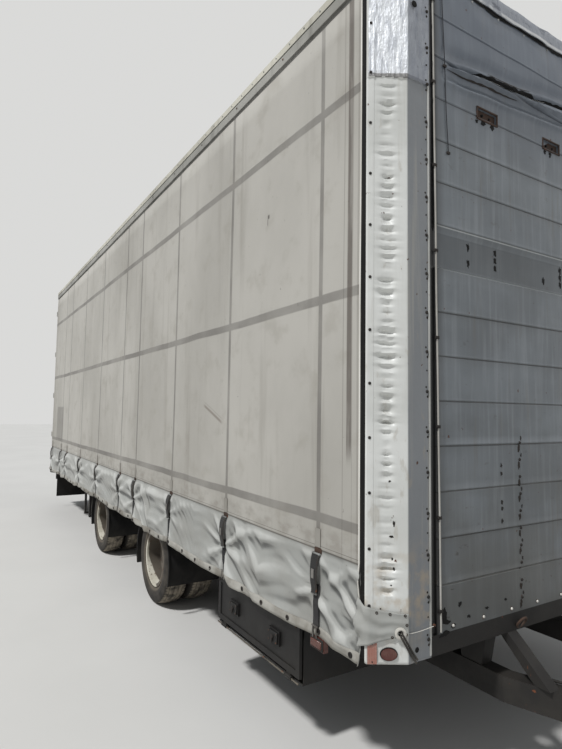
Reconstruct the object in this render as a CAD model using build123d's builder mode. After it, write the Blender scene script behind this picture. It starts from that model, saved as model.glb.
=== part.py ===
from build123d import *
import os
from math import atan2, degrees, hypot, sqrt

# Curtain-sided tandem drawbar trailer, in millimetres.
# +X points forward to the towing eye, +Y to the trailer's left, +Z up.
# The origin is on the ground, at the middle of the whole trailer's length and width.

os.makedirs("parts", exist_ok=True)

# Body
body_length = 8710.0
body_width = 2550.0
side_height = 2800.0
cap_height = 140.0
roof_crown = 60.0
seat_gap = 0.3
half_width = body_width / 2

# Tyres, which set the height of the floor above them
tyre_radius = 383.0
tyre_width = 205.0
tyre_clearance = 136.0
cross_member_height = 100.0
deck_thickness = 28.0
floor_height = 2 * tyre_radius + tyre_clearance + cross_member_height + deck_thickness
rail_top_height = floor_height + side_height
cap_top_height = rail_top_height + cap_height

# Towing eye, measured ahead of the front wall
eye_reach = 1300.0
eye_bore_radius = 20.0
eye_outer_radius = 58.0
eye_thickness = 42.0
eye_chamfer = 5.0
eye_height = 390.0

# What stands behind the body: the door hinges
hinge_back_offset = 32.0
hinge_barrel_radius = 13.0

# The front wall's outer face is placed so that the whole trailer is centred on X
front_overhang = eye_reach + eye_outer_radius
rear_overhang = hinge_back_offset + hinge_barrel_radius
front_x = (body_length + rear_overhang - front_overhang) / 2
rear_x = front_x - body_length


def behind(distance):
    """X of a point that lies this far behind the front wall's outer face."""
    return front_x - distance


sides = (("right", -1), ("left", 1))

# Chassis
beam_spacing = 920.0
beam_height = 250.0
beam_flange = 100.0
flange_thickness = 12.0
web_thickness = 8.0
cross_member_width = 50.0
cross_member_wall = 5.0
first_cross_member = 400.0
cross_member_pitch = 500.0
rear_post_depth = 100.0
cross_member_count = int((body_length - rear_post_depth - first_cross_member) / cross_member_pitch) + 1
side_rail_width = 55.0
side_rail_wall = 5.0
side_rail_inset = 20.0
side_rail_height = 130.0
side_rail_face = half_width - side_rail_inset
side_rail_inner = side_rail_face - side_rail_width

deck_underside = floor_height - deck_thickness
cross_member_underside = deck_underside - cross_member_height
beam_underside = cross_member_underside - beam_height
beam_y = beam_spacing / 2

# Front end
front_apron = 390.0
front_end_bottom = floor_height - front_apron
front_beam_height = 87.0
front_beam_depth = 80.0
front_beam_wall = 8.0
wall_bottom = front_end_bottom + front_beam_height
wall_thickness = 35.0
post_depth = 130.0
post_width = 290.0
post_wall = 5.0
post_chamfer_depth = 94.0
post_chamfer_width = 153.0
post_lip = 12.0
post_channel_depth = 40.0
post_inner_depth = 60.0
post_back_width = 120.0
trim_width = 46.0
trim_groove_depth = 12.0
trim_groove_width = 26.0
plank_pitch = 206.5
plank_groove = 6.0
recessed_band = 8
recess_depth = 8.0
lamp_pocket_width = 150.0
lamp_pocket_height = 52.0
lamp_pocket_depth = 14.0
lamp_pocket_z = rail_top_height - 604.0
lamp_pocket_y = 559.0
cap_depth = 230.0
cap_slope_depth = 60.0
cap_front_height = 80.0
cap_wall = 5.0

# Roof and the rail profile that the curtain hangs from
roof_edge_inset = 10.0
roof_thickness = 12.0
roof_rail_height = 130.0
roof_rail_width = 75.0
roof_rail_wall = 5.0
rail_strip_height = 42.0
rail_groove_height = 10.0
rail_groove_depth = 8.0
rail_cover_height = 56.0
track_lip_drop = 40.0
track_lip_thickness = 10.0
bow_depth = 30.0
bow_width = 40.0
bow_count = 7
roof_rail_bottom = rail_top_height - roof_rail_height

# Rear end
rear_end_inset = 25.0
rear_half_width = half_width - rear_end_inset
rear_post_width = 60.0
rear_post_wall = 5.0
rear_sill_height = 178.0
rear_bottom = floor_height - rear_sill_height
sill_inset = 45.0
door_inset = 26.0
door_thickness = 30.0
door_edge_gap = 8.0
door_middle_gap = 20.0
door_bottom_gap = 15.0
door_top_gap = 10.0
door_frame_width = 70.0
door_rail_rise = 1170.0
door_panel_recess = 4.0
hinge_side_inset = 10.5
hinge_pin_radius = 9.9
hinge_bore_radius = 10.0
hinge_rises = (220.0, 920.0, 1670.0, 2420.0)
hinge_knuckle_length = 60.0
hinge_ear_thickness = 14.0
hinge_ear_overlap = 24.0
hinge_end_gap = 1.0
hinge_blade_reach = 130.0
hinge_blade_face = 16.0
hinge_blade_thickness = 10.0
rod_radius = 13.5
rod_share = (0.27, 0.74)
rod_reach = 70.0
rod_bracket_rises = (370.0, 1340.0, 2200.0)
rod_bracket_width = 70.0
rod_bracket_height = 60.0
cam_length = 44.0
cam_width = 18.0
cam_height = 26.0
cam_gap = 6.0
keeper_gap = 8.0
keeper_ear = 8.0
keeper_height = 36.0
handle_rise = 520.0
handle_length = 420.0
handle_width = 30.0
handle_thickness = 8.0
handle_catch_height = 50.0

# Curtains and what holds them
curtain_thickness = 8.0
curtain_inset = 3.0
curtain_face = half_width - curtain_inset
curtain_front = 135.0
curtain_rear = body_length - 10.0
curtain_drop = 400.0
curtain_bottom = floor_height - curtain_drop
pole_radius = 15.0
front_pole_behind = 155.0
rear_pole_behind = body_length - 125.0
side_post_depth = 50.0
side_post_width = 100.0
side_post_wall = 5.0
side_post_places = (2450.0, 4500.0, 6550.0)

# Running gear: a table of name and distance behind the front wall
rear_axle_behind = 4990.0
axle_table = (("front", 3020.0), ("rear", rear_axle_behind))
tread_half_width = 86.0
twin_spacing = 240.0
bead_radius = 224.0
rim_lip_radius = 241.5
bead_half_width = 76.0
bead_top_radius = 243.0
sidewall_radius = (bead_top_radius + tyre_radius) / 2
shoulder_drop = 9.0
shoulder_radius = tyre_radius - shoulder_drop
barrel_radius = 215.0
disc_edge_radius = 158.0
rim_cone_start = 24.0
rim_cone_length = 44.0
rim_half_width = 86.0
rim_thickness = 8.0
disc_thickness = 12.0
hand_hole_count = 6
hand_hole_radius = 15.0
hand_hole_circle = 132.0
track_inset = 263.0
disc_y = half_width - track_inset
hub_radius = 92.0
hub_overlap = 1.0
hub_cap_radius = 62.0
hub_cap_step = 4.0
hub_reach = 96.0
hub_cap_reach = 124.0
drum_radius = 176.0
drum_flange_radius = 188.0
drum_flange_width = 22.0
drum_start = 72.0
drum_end = 215.0
spindle_radius = 35.0
spindle_gap = 0.3
spindle_reach = 50.0
spindle_end_gap = 6.0
axle_radius = 63.5
axle_height = tyre_radius
back_plate_gap = 6.0
back_plate_radius = 172.0
back_plate_thickness = 8.0
cam_shaft_radius = 19.0
cam_shaft_drop = 40.0
cam_shaft_behind = 115.0
cam_bracket_thickness = 12.0
slack_adjuster_width = 24.0
brake_chamber_radius = 78.0
brake_chamber_length = 150.0
brake_chamber_rim = 7.0
brake_chamber_y = 300.0
brake_chamber_rise = 92.0
brake_chamber_round = 16.0
brake_clamp_width = 16.0
chamber_standoff = 60.0
push_rod_radius = 8.0
cam_bracket_shift = 40.0

spring_y = beam_y
spring_width = 80.0
spring_half_length = 500.0
spring_eye_drop = 69.5
spring_leaf = 16.0
spring_pack = 3
leaf_step = 0.22
spring_seat_height = 26.0
spring_seat_length = 160.0
spring_seat_half_width = 50.0
spring_eye_radius = 26.0
spring_pin_radius = 14.0
spring_pin_reach = 8.0
hanger_thickness = 10.0
hanger_top_length = 130.0
hanger_tip_radius = 30.0
clip_plate_thickness = 16.0
u_bolt_radius = 10.0
u_bolt_margin = 16.0
guard_clearance = 47.0
guard_radius = tyre_radius + guard_clearance
guard_thickness = 6.0
guard_lip = 10.0
guard_lip_width = 8.0
guard_end_drop = 133.0
guard_inner_y = disc_y - twin_spacing
guard_outer_y = half_width - 29.0
guard_stay_width = 60.0
guard_stay_thickness = 8.0

# Drawbar
arm_width = 90.0
arm_height = 120.0
arm_wall = 6.0
arm_open_depth = 80.0
arm_bottom = eye_height - arm_height / 2
arm_rear = 900.0
nose_reach = 1100.0
nose_half_width = 60.0
nose_plate = 24.0
nose_plate_width = 240.0
nose_block_length = 120.0
strut_width = 70.0
strut_depth = 60.0
strut_foot = 78.0
strut_reach = 215.0
hanger_places = (180.0, 820.0)
drawbar_hanger_length = 120.0
drawbar_hanger_width = 80.0
drawbar_hanger_spread = 40.0
jack_reach = 560.0
jack_tube_size = 90.0
jack_socket_wall = 30.0
jack_cross_length = 500.0
jack_leg_size = 70.0
jack_rise = 510.0
jack_top = eye_height + jack_rise
jack_tube_bottom = 180.0
jack_foot_radius = 110.0
jack_foot_thickness = 12.0
jack_cone_radius = 88.0
jack_cone_height = 60.0
jack_cone_taper = 35.0
jack_cap_size = 104.0
jack_cap_height = 14.0
crank_shaft_radius = 10.0
crank_drop = 70.0
crank_reach = 90.0
crank_throw = 200.0
crank_grip = 110.0
crank_grip_radius = 14.0
eye_flange_width = 180.0
eye_flange_height = 120.0
eye_flange_thickness = 20.0
eye_flange_corner = 15.0
eye_shank_radius = 26.0
eye_shank_overlap = 28.0

# Storage box on the right side
box_front = 610.0
box_rear = 1590.0
box_bottom = 320.0
box_top = front_end_bottom
box_face = half_width - 37.0
box_beam_clearance = 155.0
box_depth = box_face - (beam_y + beam_flange / 2) - box_beam_clearance
box_wall = 10.0
box_rail_depth = 8.0
box_door_thickness = 18.0
box_door_gap = 6.0
box_door_margin = 22.0
box_door_rise = 30.0
box_door_bottom = box_bottom + box_door_rise
box_door_top = box_top - box_door_margin
box_door_end_gap = 10.0
box_door_frame = 34.0
box_door_recess = 6.0
box_latch_width = 110.0
box_latch_height = 76.0
box_latch_thickness = 8.0
box_latch_places = (860.0, 1340.0)
box_pin_y = box_face + 24.0
box_pin_z = box_bottom + 10.0
box_pin_radius = 6.0
box_barrel_radius = 11.0
box_bore_radius = 6.1
box_hinge_places = (720.0, 1480.0)
box_barrel_length = 40.0
box_ear_thickness = 10.0
box_tongue_thickness = 11.0
box_hanger_places = (900.0, 1400.0)
box_hanger_thickness = 8.0
box_hanger_inset = 60.0

# Spare wheel, air tank and rear end gear
spare_clearance = 131.0
spare_behind = rear_axle_behind + guard_radius + guard_thickness + spare_clearance + tyre_radius
spare_height = 390.0
carrier_bar = 24.0
carrier_gap = 2.0
carrier_width = 40.0
carrier_half_spacing = 140.0
carrier_places = (spare_behind - carrier_half_spacing, spare_behind + carrier_half_spacing)
carrier_rail_lead = 10.0
carrier_first_member = int((spare_behind - tyre_radius - first_cross_member) / cross_member_pitch)
carrier_rail_middle = first_cross_member + (carrier_first_member + 1) * cross_member_pitch + carrier_rail_lead
carrier_rail_length = 1060.0
carrier_reach = tyre_radius + carrier_bar / 2 + carrier_gap
spare_y = carrier_reach + carrier_bar / 2 + 1.0 - side_rail_inner
tank_behind = 1900.0
tank_radius = 120.0
tank_length = 700.0
tank_strap_width = 40.0
tank_strap_thickness = 4.0
tank_drop = 22.0
tank_end_radius = 60.0
guard_bar_height = 100.0
guard_bar_depth = 60.0
guard_bar_bottom = 450.0
guard_bar_inset = 95.0
guard_bar_half_length = half_width - guard_bar_inset
guard_bar_fillet = 12.0
guard_bracket_length = 110.0
guard_bracket_thickness = 24.0
flap_behind = body_length - 310.0
flap_thickness = 8.0
flap_bottom = 180.0
flap_hang = 52.0
flap_top = beam_underside - flap_hang
flap_half_width = half_width - 75.0
flap_rail_depth = 40.0
lamp_width = 400.0
lamp_height = 120.0
lamp_outer_y = half_width - 115.0
lamp_lens_count = 3
lamp_lens_width = 112.0
lamp_lens_height = 92.0
lamp_lens_reach = 12.0
marker_behind = 450.0
marker_length = 110.0
marker_height = 60.0
marker_depth = 25.0
marker_rise = 4.0
marker_top = curtain_bottom - marker_rise
marker_bracket_width = 30.0
marker_arm_width = 40.0
marker_arm_length = 60.0
marker_head_rise = 75.0
marker_head_reach = 15.0
marker_head_width = 50.0

# Chassis frame

with BuildPart() as main_beams:
    for side_name, side in sides:
        with BuildSketch(Plane.YZ.offset(behind(front_beam_depth))):
            with Locations((side * beam_y, beam_underside + beam_height / 2)):
                Rectangle(beam_flange, beam_height)
            for web_side in (-1, 1):
                web_pocket = (beam_flange - web_thickness) / 2
                with Locations((
                    side * beam_y + web_side * (web_thickness + web_pocket) / 2,
                    beam_underside + beam_height / 2,
                )):
                    Rectangle(web_pocket, beam_height - 2 * flange_thickness, mode=Mode.SUBTRACT)
        extrude(amount=-(body_length - rear_post_depth - front_beam_depth))
main_beams.part.label = "main_beams"
export_step(main_beams.part, "parts/main_beams.step")

with BuildPart() as cross_members:
    for index in range(cross_member_count):
        place = behind(first_cross_member + index * cross_member_pitch)
        with BuildSketch(Plane.XZ.offset(-side_rail_inner)):
            with Locations((place, deck_underside - cross_member_height / 2)):
                Rectangle(cross_member_width, cross_member_height)
            with Locations((place - cross_member_wall / 2, deck_underside - cross_member_height / 2)):
                Rectangle(
                    cross_member_width - cross_member_wall,
                    cross_member_height - 2 * cross_member_wall,
                    mode=Mode.SUBTRACT,
                )
        extrude(amount=2 * side_rail_inner)
cross_members.part.label = "cross_members"
export_step(cross_members.part, "parts/cross_members.step")

with BuildPart() as side_rails:
    for side_name, side in sides:
        with BuildSketch(Plane.YZ.offset(behind(post_depth))):
            with Locations((
                side * (side_rail_face - side_rail_width / 2),
                floor_height - side_rail_height / 2,
            )):
                Rectangle(side_rail_width, side_rail_height)
                Rectangle(
                    side_rail_width - 2 * side_rail_wall,
                    side_rail_height - 2 * side_rail_wall,
                    mode=Mode.SUBTRACT,
                )
        extrude(amount=-(body_length - rear_post_depth - post_depth))
side_rails.part.label = "side_rails"
export_step(side_rails.part, "parts/side_rails.step")

with BuildPart() as floor_deck:
    with BuildSketch(Plane.XY.offset(deck_underside)):
        with Locations((behind(post_depth), 0)):
            Rectangle(
                body_length - rear_post_depth - post_depth,
                2 * side_rail_inner,
                align=(Align.MAX, Align.CENTER),
            )
        with Locations((behind(wall_thickness), 0)):
            Rectangle(
                post_depth - wall_thickness,
                2 * (half_width - post_width),
                align=(Align.MAX, Align.CENTER),
            )
    extrude(amount=deck_thickness)
floor_deck.part.label = "floor_deck"
export_step(floor_deck.part, "parts/floor_deck.step")

with BuildPart() as front_beam:
    with BuildSketch(Plane.XZ.offset(-(half_width - post_width))):
        with Locations((behind(front_beam_depth / 2), front_end_bottom + front_beam_height / 2)):
            Rectangle(front_beam_depth, front_beam_height)
        with Locations((
            behind((front_beam_depth + front_beam_wall) / 2),
            front_end_bottom + front_beam_height / 2,
        )):
            Rectangle(
                front_beam_depth - front_beam_wall,
                front_beam_height - 2 * front_beam_wall,
                mode=Mode.SUBTRACT,
            )
    extrude(amount=2 * (half_width - post_width))
front_beam.part.label = "front_beam"
export_step(front_beam.part, "parts/front_beam.step")

# Front wall of horizontal planks, one of them recessed, with a trim strip at each end

plank_bottoms = [wall_bottom + index * plank_pitch for index in range(15)]
with BuildPart() as front_wall:
    with BuildSketch(Plane.XZ.offset(-(half_width - post_width))):
        with Locations((behind(wall_thickness / 2), wall_bottom)):
            Rectangle(
                wall_thickness,
                rail_top_height - wall_bottom,
                align=(Align.CENTER, Align.MIN),
            )
    extrude(amount=2 * (half_width - post_width))
    plank_half_length = half_width - post_width - trim_width
    with BuildSketch(Plane.XZ.offset(-plank_half_length)):
        for seam in plank_bottoms[1:]:
            with Locations((front_x, seam)):
                Rectangle(plank_groove, plank_groove, rotation=45)
        with Locations((front_x, plank_bottoms[recessed_band])):
            Rectangle(recess_depth * 2, plank_pitch, align=(Align.CENTER, Align.MIN))
    extrude(amount=2 * plank_half_length, mode=Mode.SUBTRACT)
    with BuildSketch(Plane.XY.offset(wall_bottom)):
        for side_name, side in sides:
            with Locations((front_x, side * (plank_half_length + trim_width / 2))):
                Rectangle(trim_groove_depth * 2, trim_groove_width)
    extrude(amount=rail_top_height - wall_bottom, mode=Mode.SUBTRACT)
    with BuildSketch(Plane.YZ.offset(front_x)):
        for pocket_y in (-lamp_pocket_y, 0, lamp_pocket_y):
            with Locations((pocket_y, lamp_pocket_z)):
                Rectangle(lamp_pocket_width, lamp_pocket_height)
    extrude(amount=-lamp_pocket_depth, mode=Mode.SUBTRACT)
front_wall.part.label = "front_wall"
export_step(front_wall.part, "parts/front_wall.step")

# Folded hollow corner posts: a wide chamfer in front, and a channel behind for the curtain's edge

for side_name, side in sides:
    with BuildPart() as front_post:
        with BuildSketch(Plane.XY.offset(front_end_bottom)):
            with BuildLine():
                Polyline(
                    (behind(0), side * (half_width - post_chamfer_width)),
                    (behind(0), side * (half_width - post_width)),
                    (behind(post_inner_depth), side * (half_width - post_width)),
                    (behind(post_depth), side * (half_width - post_back_width)),
                    (behind(post_depth), side * (half_width - post_channel_depth)),
                    (behind(post_chamfer_depth + post_lip), side * (half_width - post_channel_depth)),
                    (behind(post_chamfer_depth + post_lip), side * half_width),
                    (behind(post_chamfer_depth), side * half_width),
                    close=True,
                )
            make_face()
            offset(amount=-post_wall, mode=Mode.SUBTRACT, kind=Kind.INTERSECTION)
        extrude(amount=rail_top_height - front_end_bottom)
    front_post.part.label = f"front_post_{side_name}"
    export_step(front_post.part, f"parts/front_post_{side_name}.step")

# Sheet metal cap over the front wall and both posts, open below

with BuildPart() as front_cap:
    with BuildSketch(Plane.XZ.offset(-half_width)):
        with BuildLine():
            Polyline(
                (behind(0), rail_top_height),
                (behind(0), rail_top_height + cap_front_height),
                (behind(cap_slope_depth), cap_top_height),
                (behind(cap_depth), rail_top_height + roof_crown + roof_thickness),
                (behind(cap_depth), rail_top_height),
                close=True,
            )
        make_face()
    extrude(amount=body_width)
    for side_name, side in sides:
        with BuildSketch(Plane.XY.offset(rail_top_height)):
            with BuildLine():
                Polyline(
                    (behind(0), side * (half_width - post_chamfer_width)),
                    (behind(0), side * half_width),
                    (behind(post_chamfer_depth), side * half_width),
                    close=True,
                )
            make_face()
        extrude(amount=cap_top_height - rail_top_height, mode=Mode.SUBTRACT)
    cap_opening = front_cap.faces().sort_by(Axis.Z)[0]
    offset(amount=-cap_wall, openings=cap_opening, kind=Kind.INTERSECTION)
front_cap.part.label = "front_cap"
export_step(front_cap.part, "parts/front_cap.step")

# Roof: crowned sheet on arched bows, between two hollow rails. Each rail's outer side has a
# groove under its top strip, and a lip behind the curtain's upper edge

roof_front = cap_depth
track_lip_inset = curtain_inset + curtain_thickness + seat_gap
track_lip_back = track_lip_inset + track_lip_thickness
rail_cover_bottom = rail_top_height - rail_strip_height - rail_groove_height - rail_cover_height
with BuildPart() as roof_rails:
    for side_name, side in sides:
        with BuildSketch(Plane.YZ.offset(behind(post_depth))):
            with BuildLine():
                Polyline(
                    (side * half_width, rail_top_height),
                    (side * half_width, rail_top_height - rail_strip_height),
                    (side * (half_width - rail_groove_depth), rail_top_height - rail_strip_height),
                    (side * (half_width - rail_groove_depth), rail_cover_bottom + rail_cover_height),
                    (side * half_width, rail_cover_bottom + rail_cover_height),
                    (side * half_width, rail_cover_bottom),
                    (side * (half_width - track_lip_inset), rail_cover_bottom),
                    (side * (half_width - track_lip_inset), roof_rail_bottom - track_lip_drop),
                    (side * (half_width - track_lip_back), roof_rail_bottom - track_lip_drop),
                    (side * (half_width - track_lip_back), roof_rail_bottom),
                    (side * (half_width - roof_rail_width), roof_rail_bottom),
                    (side * (half_width - roof_rail_width), rail_top_height),
                    close=True,
                )
            make_face()
            hollow_width = roof_rail_width - track_lip_back - roof_rail_wall
            with Locations((
                side * (half_width - track_lip_back - hollow_width / 2),
                rail_top_height - roof_rail_height / 2,
            )):
                Rectangle(hollow_width, roof_rail_height - 2 * roof_rail_wall, mode=Mode.SUBTRACT)
        extrude(amount=-(body_length - post_depth))
        with BuildSketch(Plane.XY.offset(roof_rail_bottom - track_lip_drop)):
            with Locations((rear_x, side * rear_half_width)):
                Rectangle(
                    rear_post_depth,
                    roof_rail_width,
                    align=(Align.MIN, Align.MAX if side > 0 else Align.MIN),
                )
        extrude(amount=roof_rail_height + track_lip_drop, mode=Mode.SUBTRACT)
roof_rails.part.label = "roof_rails"
export_step(roof_rails.part, "parts/roof_rails.step")

roof_edge = half_width - roof_edge_inset
with BuildPart() as roof_panel:
    with BuildSketch(Plane.YZ.offset(behind(roof_front))):
        with BuildLine():
            ThreePointArc(
                (-roof_edge, rail_top_height),
                (0, rail_top_height + roof_crown),
                (roof_edge, rail_top_height),
            )
            Line((roof_edge, rail_top_height), (roof_edge, rail_top_height + roof_thickness))
            ThreePointArc(
                (roof_edge, rail_top_height + roof_thickness),
                (0, rail_top_height + roof_crown + roof_thickness),
                (-roof_edge, rail_top_height + roof_thickness),
            )
            Line((-roof_edge, rail_top_height + roof_thickness), (-roof_edge, rail_top_height))
        make_face()
    extrude(amount=-(body_length - roof_front))
roof_panel.part.label = "roof_panel"
export_step(roof_panel.part, "parts/roof_panel.step")


def roof_arc_height(y):
    """Height of the roof sheet's underside at this distance from the middle."""
    arc_radius = (roof_edge**2 + roof_crown**2) / (2 * roof_crown)
    return rail_top_height + roof_crown - arc_radius + sqrt(arc_radius**2 - y**2)


bow_end = half_width - roof_rail_width
bow_pitch = (body_length - roof_front - rear_post_depth) / (bow_count + 1)
with BuildPart() as roof_bows:
    for index in range(bow_count):
        bow_place = roof_front + (index + 1) * bow_pitch
        with BuildSketch(Plane.YZ.offset(behind(bow_place + bow_width / 2))):
            with BuildLine():
                bow_end_height = roof_arc_height(bow_end) - seat_gap
                ThreePointArc(
                    (-bow_end, bow_end_height),
                    (0, rail_top_height + roof_crown - seat_gap),
                    (bow_end, bow_end_height),
                )
                Line((bow_end, bow_end_height), (bow_end, bow_end_height - bow_depth))
                ThreePointArc(
                    (bow_end, bow_end_height - bow_depth),
                    (0, rail_top_height + roof_crown - bow_depth),
                    (-bow_end, bow_end_height - bow_depth),
                )
                Line((-bow_end, bow_end_height - bow_depth), (-bow_end, bow_end_height))
            make_face()
        extrude(amount=bow_width)
roof_bows.part.label = "roof_bows"
export_step(roof_bows.part, "parts/roof_bows.step")

# Rear end: two posts with hinge brackets, a header and a sill with keepers for the lock rods

hinge_x = rear_x - hinge_back_offset
hinge_y = half_width - hinge_side_inset
hinge_heights = [floor_height + rise for rise in hinge_rises]
ear_height = hinge_knuckle_length + 2 * hinge_end_gap + 2 * hinge_ear_thickness
with BuildPart() as rear_posts:
    for side_name, side in sides:
        with BuildSketch(Plane.XY.offset(rear_bottom)):
            with Locations((
                rear_x + rear_post_depth / 2,
                side * (rear_half_width - rear_post_width / 2),
            )):
                Rectangle(rear_post_depth, rear_post_width)
                Rectangle(
                    rear_post_depth - 2 * rear_post_wall,
                    rear_post_width - 2 * rear_post_wall,
                    mode=Mode.SUBTRACT,
                )
        extrude(amount=rail_top_height - rear_bottom)
        for height in hinge_heights:
            for ear_side in (-1, 1):
                ear_middle = height + ear_side * (ear_height - hinge_ear_thickness) / 2
                with BuildSketch(Plane.XY.offset(ear_middle - hinge_ear_thickness / 2)):
                    with Locations((hinge_x, side * hinge_y)):
                        Circle(hinge_barrel_radius)
                    with Locations((hinge_x, side * hinge_y)):
                        Rectangle(
                            hinge_back_offset,
                            hinge_y - rear_half_width + hinge_ear_overlap,
                            align=(Align.MIN, Align.MAX if side > 0 else Align.MIN),
                        )
                extrude(amount=hinge_ear_thickness)
            with BuildSketch(Plane.XY.offset(height - ear_height / 2)):
                with Locations((hinge_x, side * hinge_y)):
                    Circle(hinge_pin_radius)
            extrude(amount=ear_height)
rear_posts.part.label = "rear_posts"
export_step(rear_posts.part, "parts/rear_posts.step")

opening_half_width = rear_half_width - rear_post_width
frame_bar_depth = rear_post_depth - sill_inset
door_bottom = floor_height + door_bottom_gap
door_top = roof_rail_bottom - door_top_gap
door_outer_y = opening_half_width - door_edge_gap
door_inner_y = door_middle_gap / 2
door_leaf_width = door_outer_y - door_inner_y
rod_x = hinge_x + hinge_blade_face + rod_radius
rod_middles = [door_inner_y + share * door_leaf_width for share in rod_share]
keeper_spread = 2 * (rod_radius + keeper_gap) + keeper_ear
keeper_reach = rear_x + sill_inset - rod_x + rod_radius
with BuildPart() as rear_header:
    with BuildSketch(Plane.YZ.offset(rear_x + sill_inset)):
        with BuildLine():
            header_end = roof_arc_height(opening_half_width) - seat_gap
            ThreePointArc(
                (-opening_half_width, header_end),
                (0, rail_top_height + roof_crown - seat_gap),
                (opening_half_width, header_end),
            )
            Polyline(
                (opening_half_width, header_end),
                (opening_half_width, roof_rail_bottom),
                (-opening_half_width, roof_rail_bottom),
                (-opening_half_width, header_end),
            )
        make_face()
    extrude(amount=frame_bar_depth)
    with BuildSketch(Plane.YZ.offset(rear_x + sill_inset)):
        for middle in (*rod_middles, *[-middle for middle in rod_middles]):
            with Locations((middle, door_top + rod_reach - keeper_height / 2)):
                with GridLocations(keeper_spread, 0, 2, 1):
                    Rectangle(keeper_ear, keeper_height)
    extrude(amount=-keeper_reach)
rear_header.part.label = "rear_header"
export_step(rear_header.part, "parts/rear_header.step")

with BuildPart() as rear_sill:
    with BuildSketch(Plane.YZ.offset(rear_x + sill_inset)):
        with Locations((0, rear_bottom)):
            Rectangle(
                2 * opening_half_width,
                floor_height - rear_bottom,
                align=(Align.CENTER, Align.MIN),
            )
    extrude(amount=frame_bar_depth)
    with BuildSketch(Plane.YZ.offset(rear_x + sill_inset)):
        for middle in (*rod_middles, *[-middle for middle in rod_middles]):
            with Locations((middle, door_bottom - rod_reach + keeper_height / 2)):
                with GridLocations(keeper_spread, 0, 2, 1):
                    Rectangle(keeper_ear, keeper_height)
    extrude(amount=-keeper_reach)
rear_sill.part.label = "rear_sill"
export_step(rear_sill.part, "parts/rear_sill.step")

# Rear doors: two framed panels each, with hinge blades, and lock rods with cams and handles

door_face_x = rear_x + door_inset
door_rail_z = floor_height + door_rail_rise
for side_name, side in sides:
    with BuildPart() as rear_door:
        with BuildSketch(Plane.YZ.offset(door_face_x)):
            with Locations((side * (door_outer_y + door_inner_y) / 2, (door_top + door_bottom) / 2)):
                Rectangle(door_leaf_width, door_top - door_bottom)
        extrude(amount=door_thickness)
        with BuildSketch(Plane.YZ.offset(door_face_x)):
            for panel_bottom, panel_top in (
                (door_bottom + door_frame_width, door_rail_z - door_frame_width / 2),
                (door_rail_z + door_frame_width / 2, door_top - door_frame_width),
            ):
                with Locations((side * (door_outer_y + door_inner_y) / 2, (panel_bottom + panel_top) / 2)):
                    Rectangle(door_leaf_width - 2 * door_frame_width, panel_top - panel_bottom)
        extrude(amount=door_panel_recess, mode=Mode.SUBTRACT)
        blade_outer_x = hinge_x + hinge_blade_face
        blade_inner_x = blade_outer_x + hinge_blade_thickness
        blade_root_y = door_outer_y - door_edge_gap / 2
        for height in hinge_heights:
            with BuildSketch(Plane.XY.offset(height - hinge_knuckle_length / 2)):
                with BuildLine():
                    Polyline(
                        (hinge_x, side * (hinge_y + hinge_barrel_radius)),
                        (blade_inner_x, side * (hinge_y + hinge_barrel_radius)),
                        (blade_inner_x, side * blade_root_y),
                        (door_face_x, side * blade_root_y),
                        (door_face_x, side * (hinge_y - hinge_blade_reach)),
                        (blade_outer_x, side * (hinge_y - hinge_blade_reach)),
                        (blade_outer_x, side * (hinge_y - hinge_barrel_radius)),
                        (hinge_x, side * (hinge_y - hinge_barrel_radius)),
                        close=True,
                    )
                make_face()
                with Locations((hinge_x, side * hinge_y)):
                    Circle(hinge_barrel_radius)
                    Circle(hinge_bore_radius, mode=Mode.SUBTRACT)
            extrude(amount=hinge_knuckle_length)
    rear_door.part.label = f"rear_door_{side_name}"
    export_step(rear_door.part, f"parts/rear_door_{side_name}.step")

    with BuildPart() as lock_rods:
        for middle in rod_middles:
            rod_y = side * middle
            with BuildSketch(Plane.XY.offset(door_bottom - rod_reach)):
                with Locations((rod_x, rod_y)):
                    Circle(rod_radius)
            extrude(amount=door_top - door_bottom + 2 * rod_reach)
            for cam_bottom in (
                door_bottom - rod_reach + keeper_height + cam_gap,
                door_top + rod_reach - keeper_height - cam_gap - cam_height,
            ):
                with BuildSketch(Plane.XY.offset(cam_bottom)):
                    with Locations((rod_x, rod_y)):
                        Rectangle(cam_width, cam_length)
                extrude(amount=cam_height)
            for rise in rod_bracket_rises:
                with BuildSketch(Plane.YZ.offset(rod_x)):
                    with Locations((rod_y, floor_height + rise)):
                        Rectangle(rod_bracket_width, rod_bracket_height)
                extrude(amount=door_face_x + door_panel_recess - rod_x)
            with BuildSketch(Plane.YZ.offset(rod_x - rod_radius)):
                with Locations((rod_y, floor_height + handle_rise + handle_length / 2)):
                    Rectangle(handle_width, handle_length)
            extrude(amount=handle_thickness)
            with BuildSketch(Plane.YZ.offset(rod_x - rod_radius + handle_thickness)):
                with Locations((rod_y, floor_height + handle_rise + handle_catch_height)):
                    Rectangle(rod_bracket_width, handle_catch_height)
            extrude(amount=door_face_x + door_panel_recess - rod_x + rod_radius - handle_thickness)
    lock_rods.part.label = f"lock_rods_{side_name}"
    export_step(lock_rods.part, f"parts/lock_rods_{side_name}.step")

# Side posts, curtain poles and the two curtains

with BuildPart() as side_posts:
    for side_name, side in sides:
        for place in side_post_places:
            with BuildSketch(Plane.XY.offset(floor_height)):
                with Locations((behind(place), side * (side_rail_inner + side_post_depth / 2))):
                    Rectangle(side_post_width, side_post_depth)
                    Rectangle(
                        side_post_width - 2 * side_post_wall,
                        side_post_depth - 2 * side_post_wall,
                        mode=Mode.SUBTRACT,
                    )
            extrude(amount=roof_rail_bottom - floor_height)
side_posts.part.label = "side_posts"
export_step(side_posts.part, "parts/side_posts.step")

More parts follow.
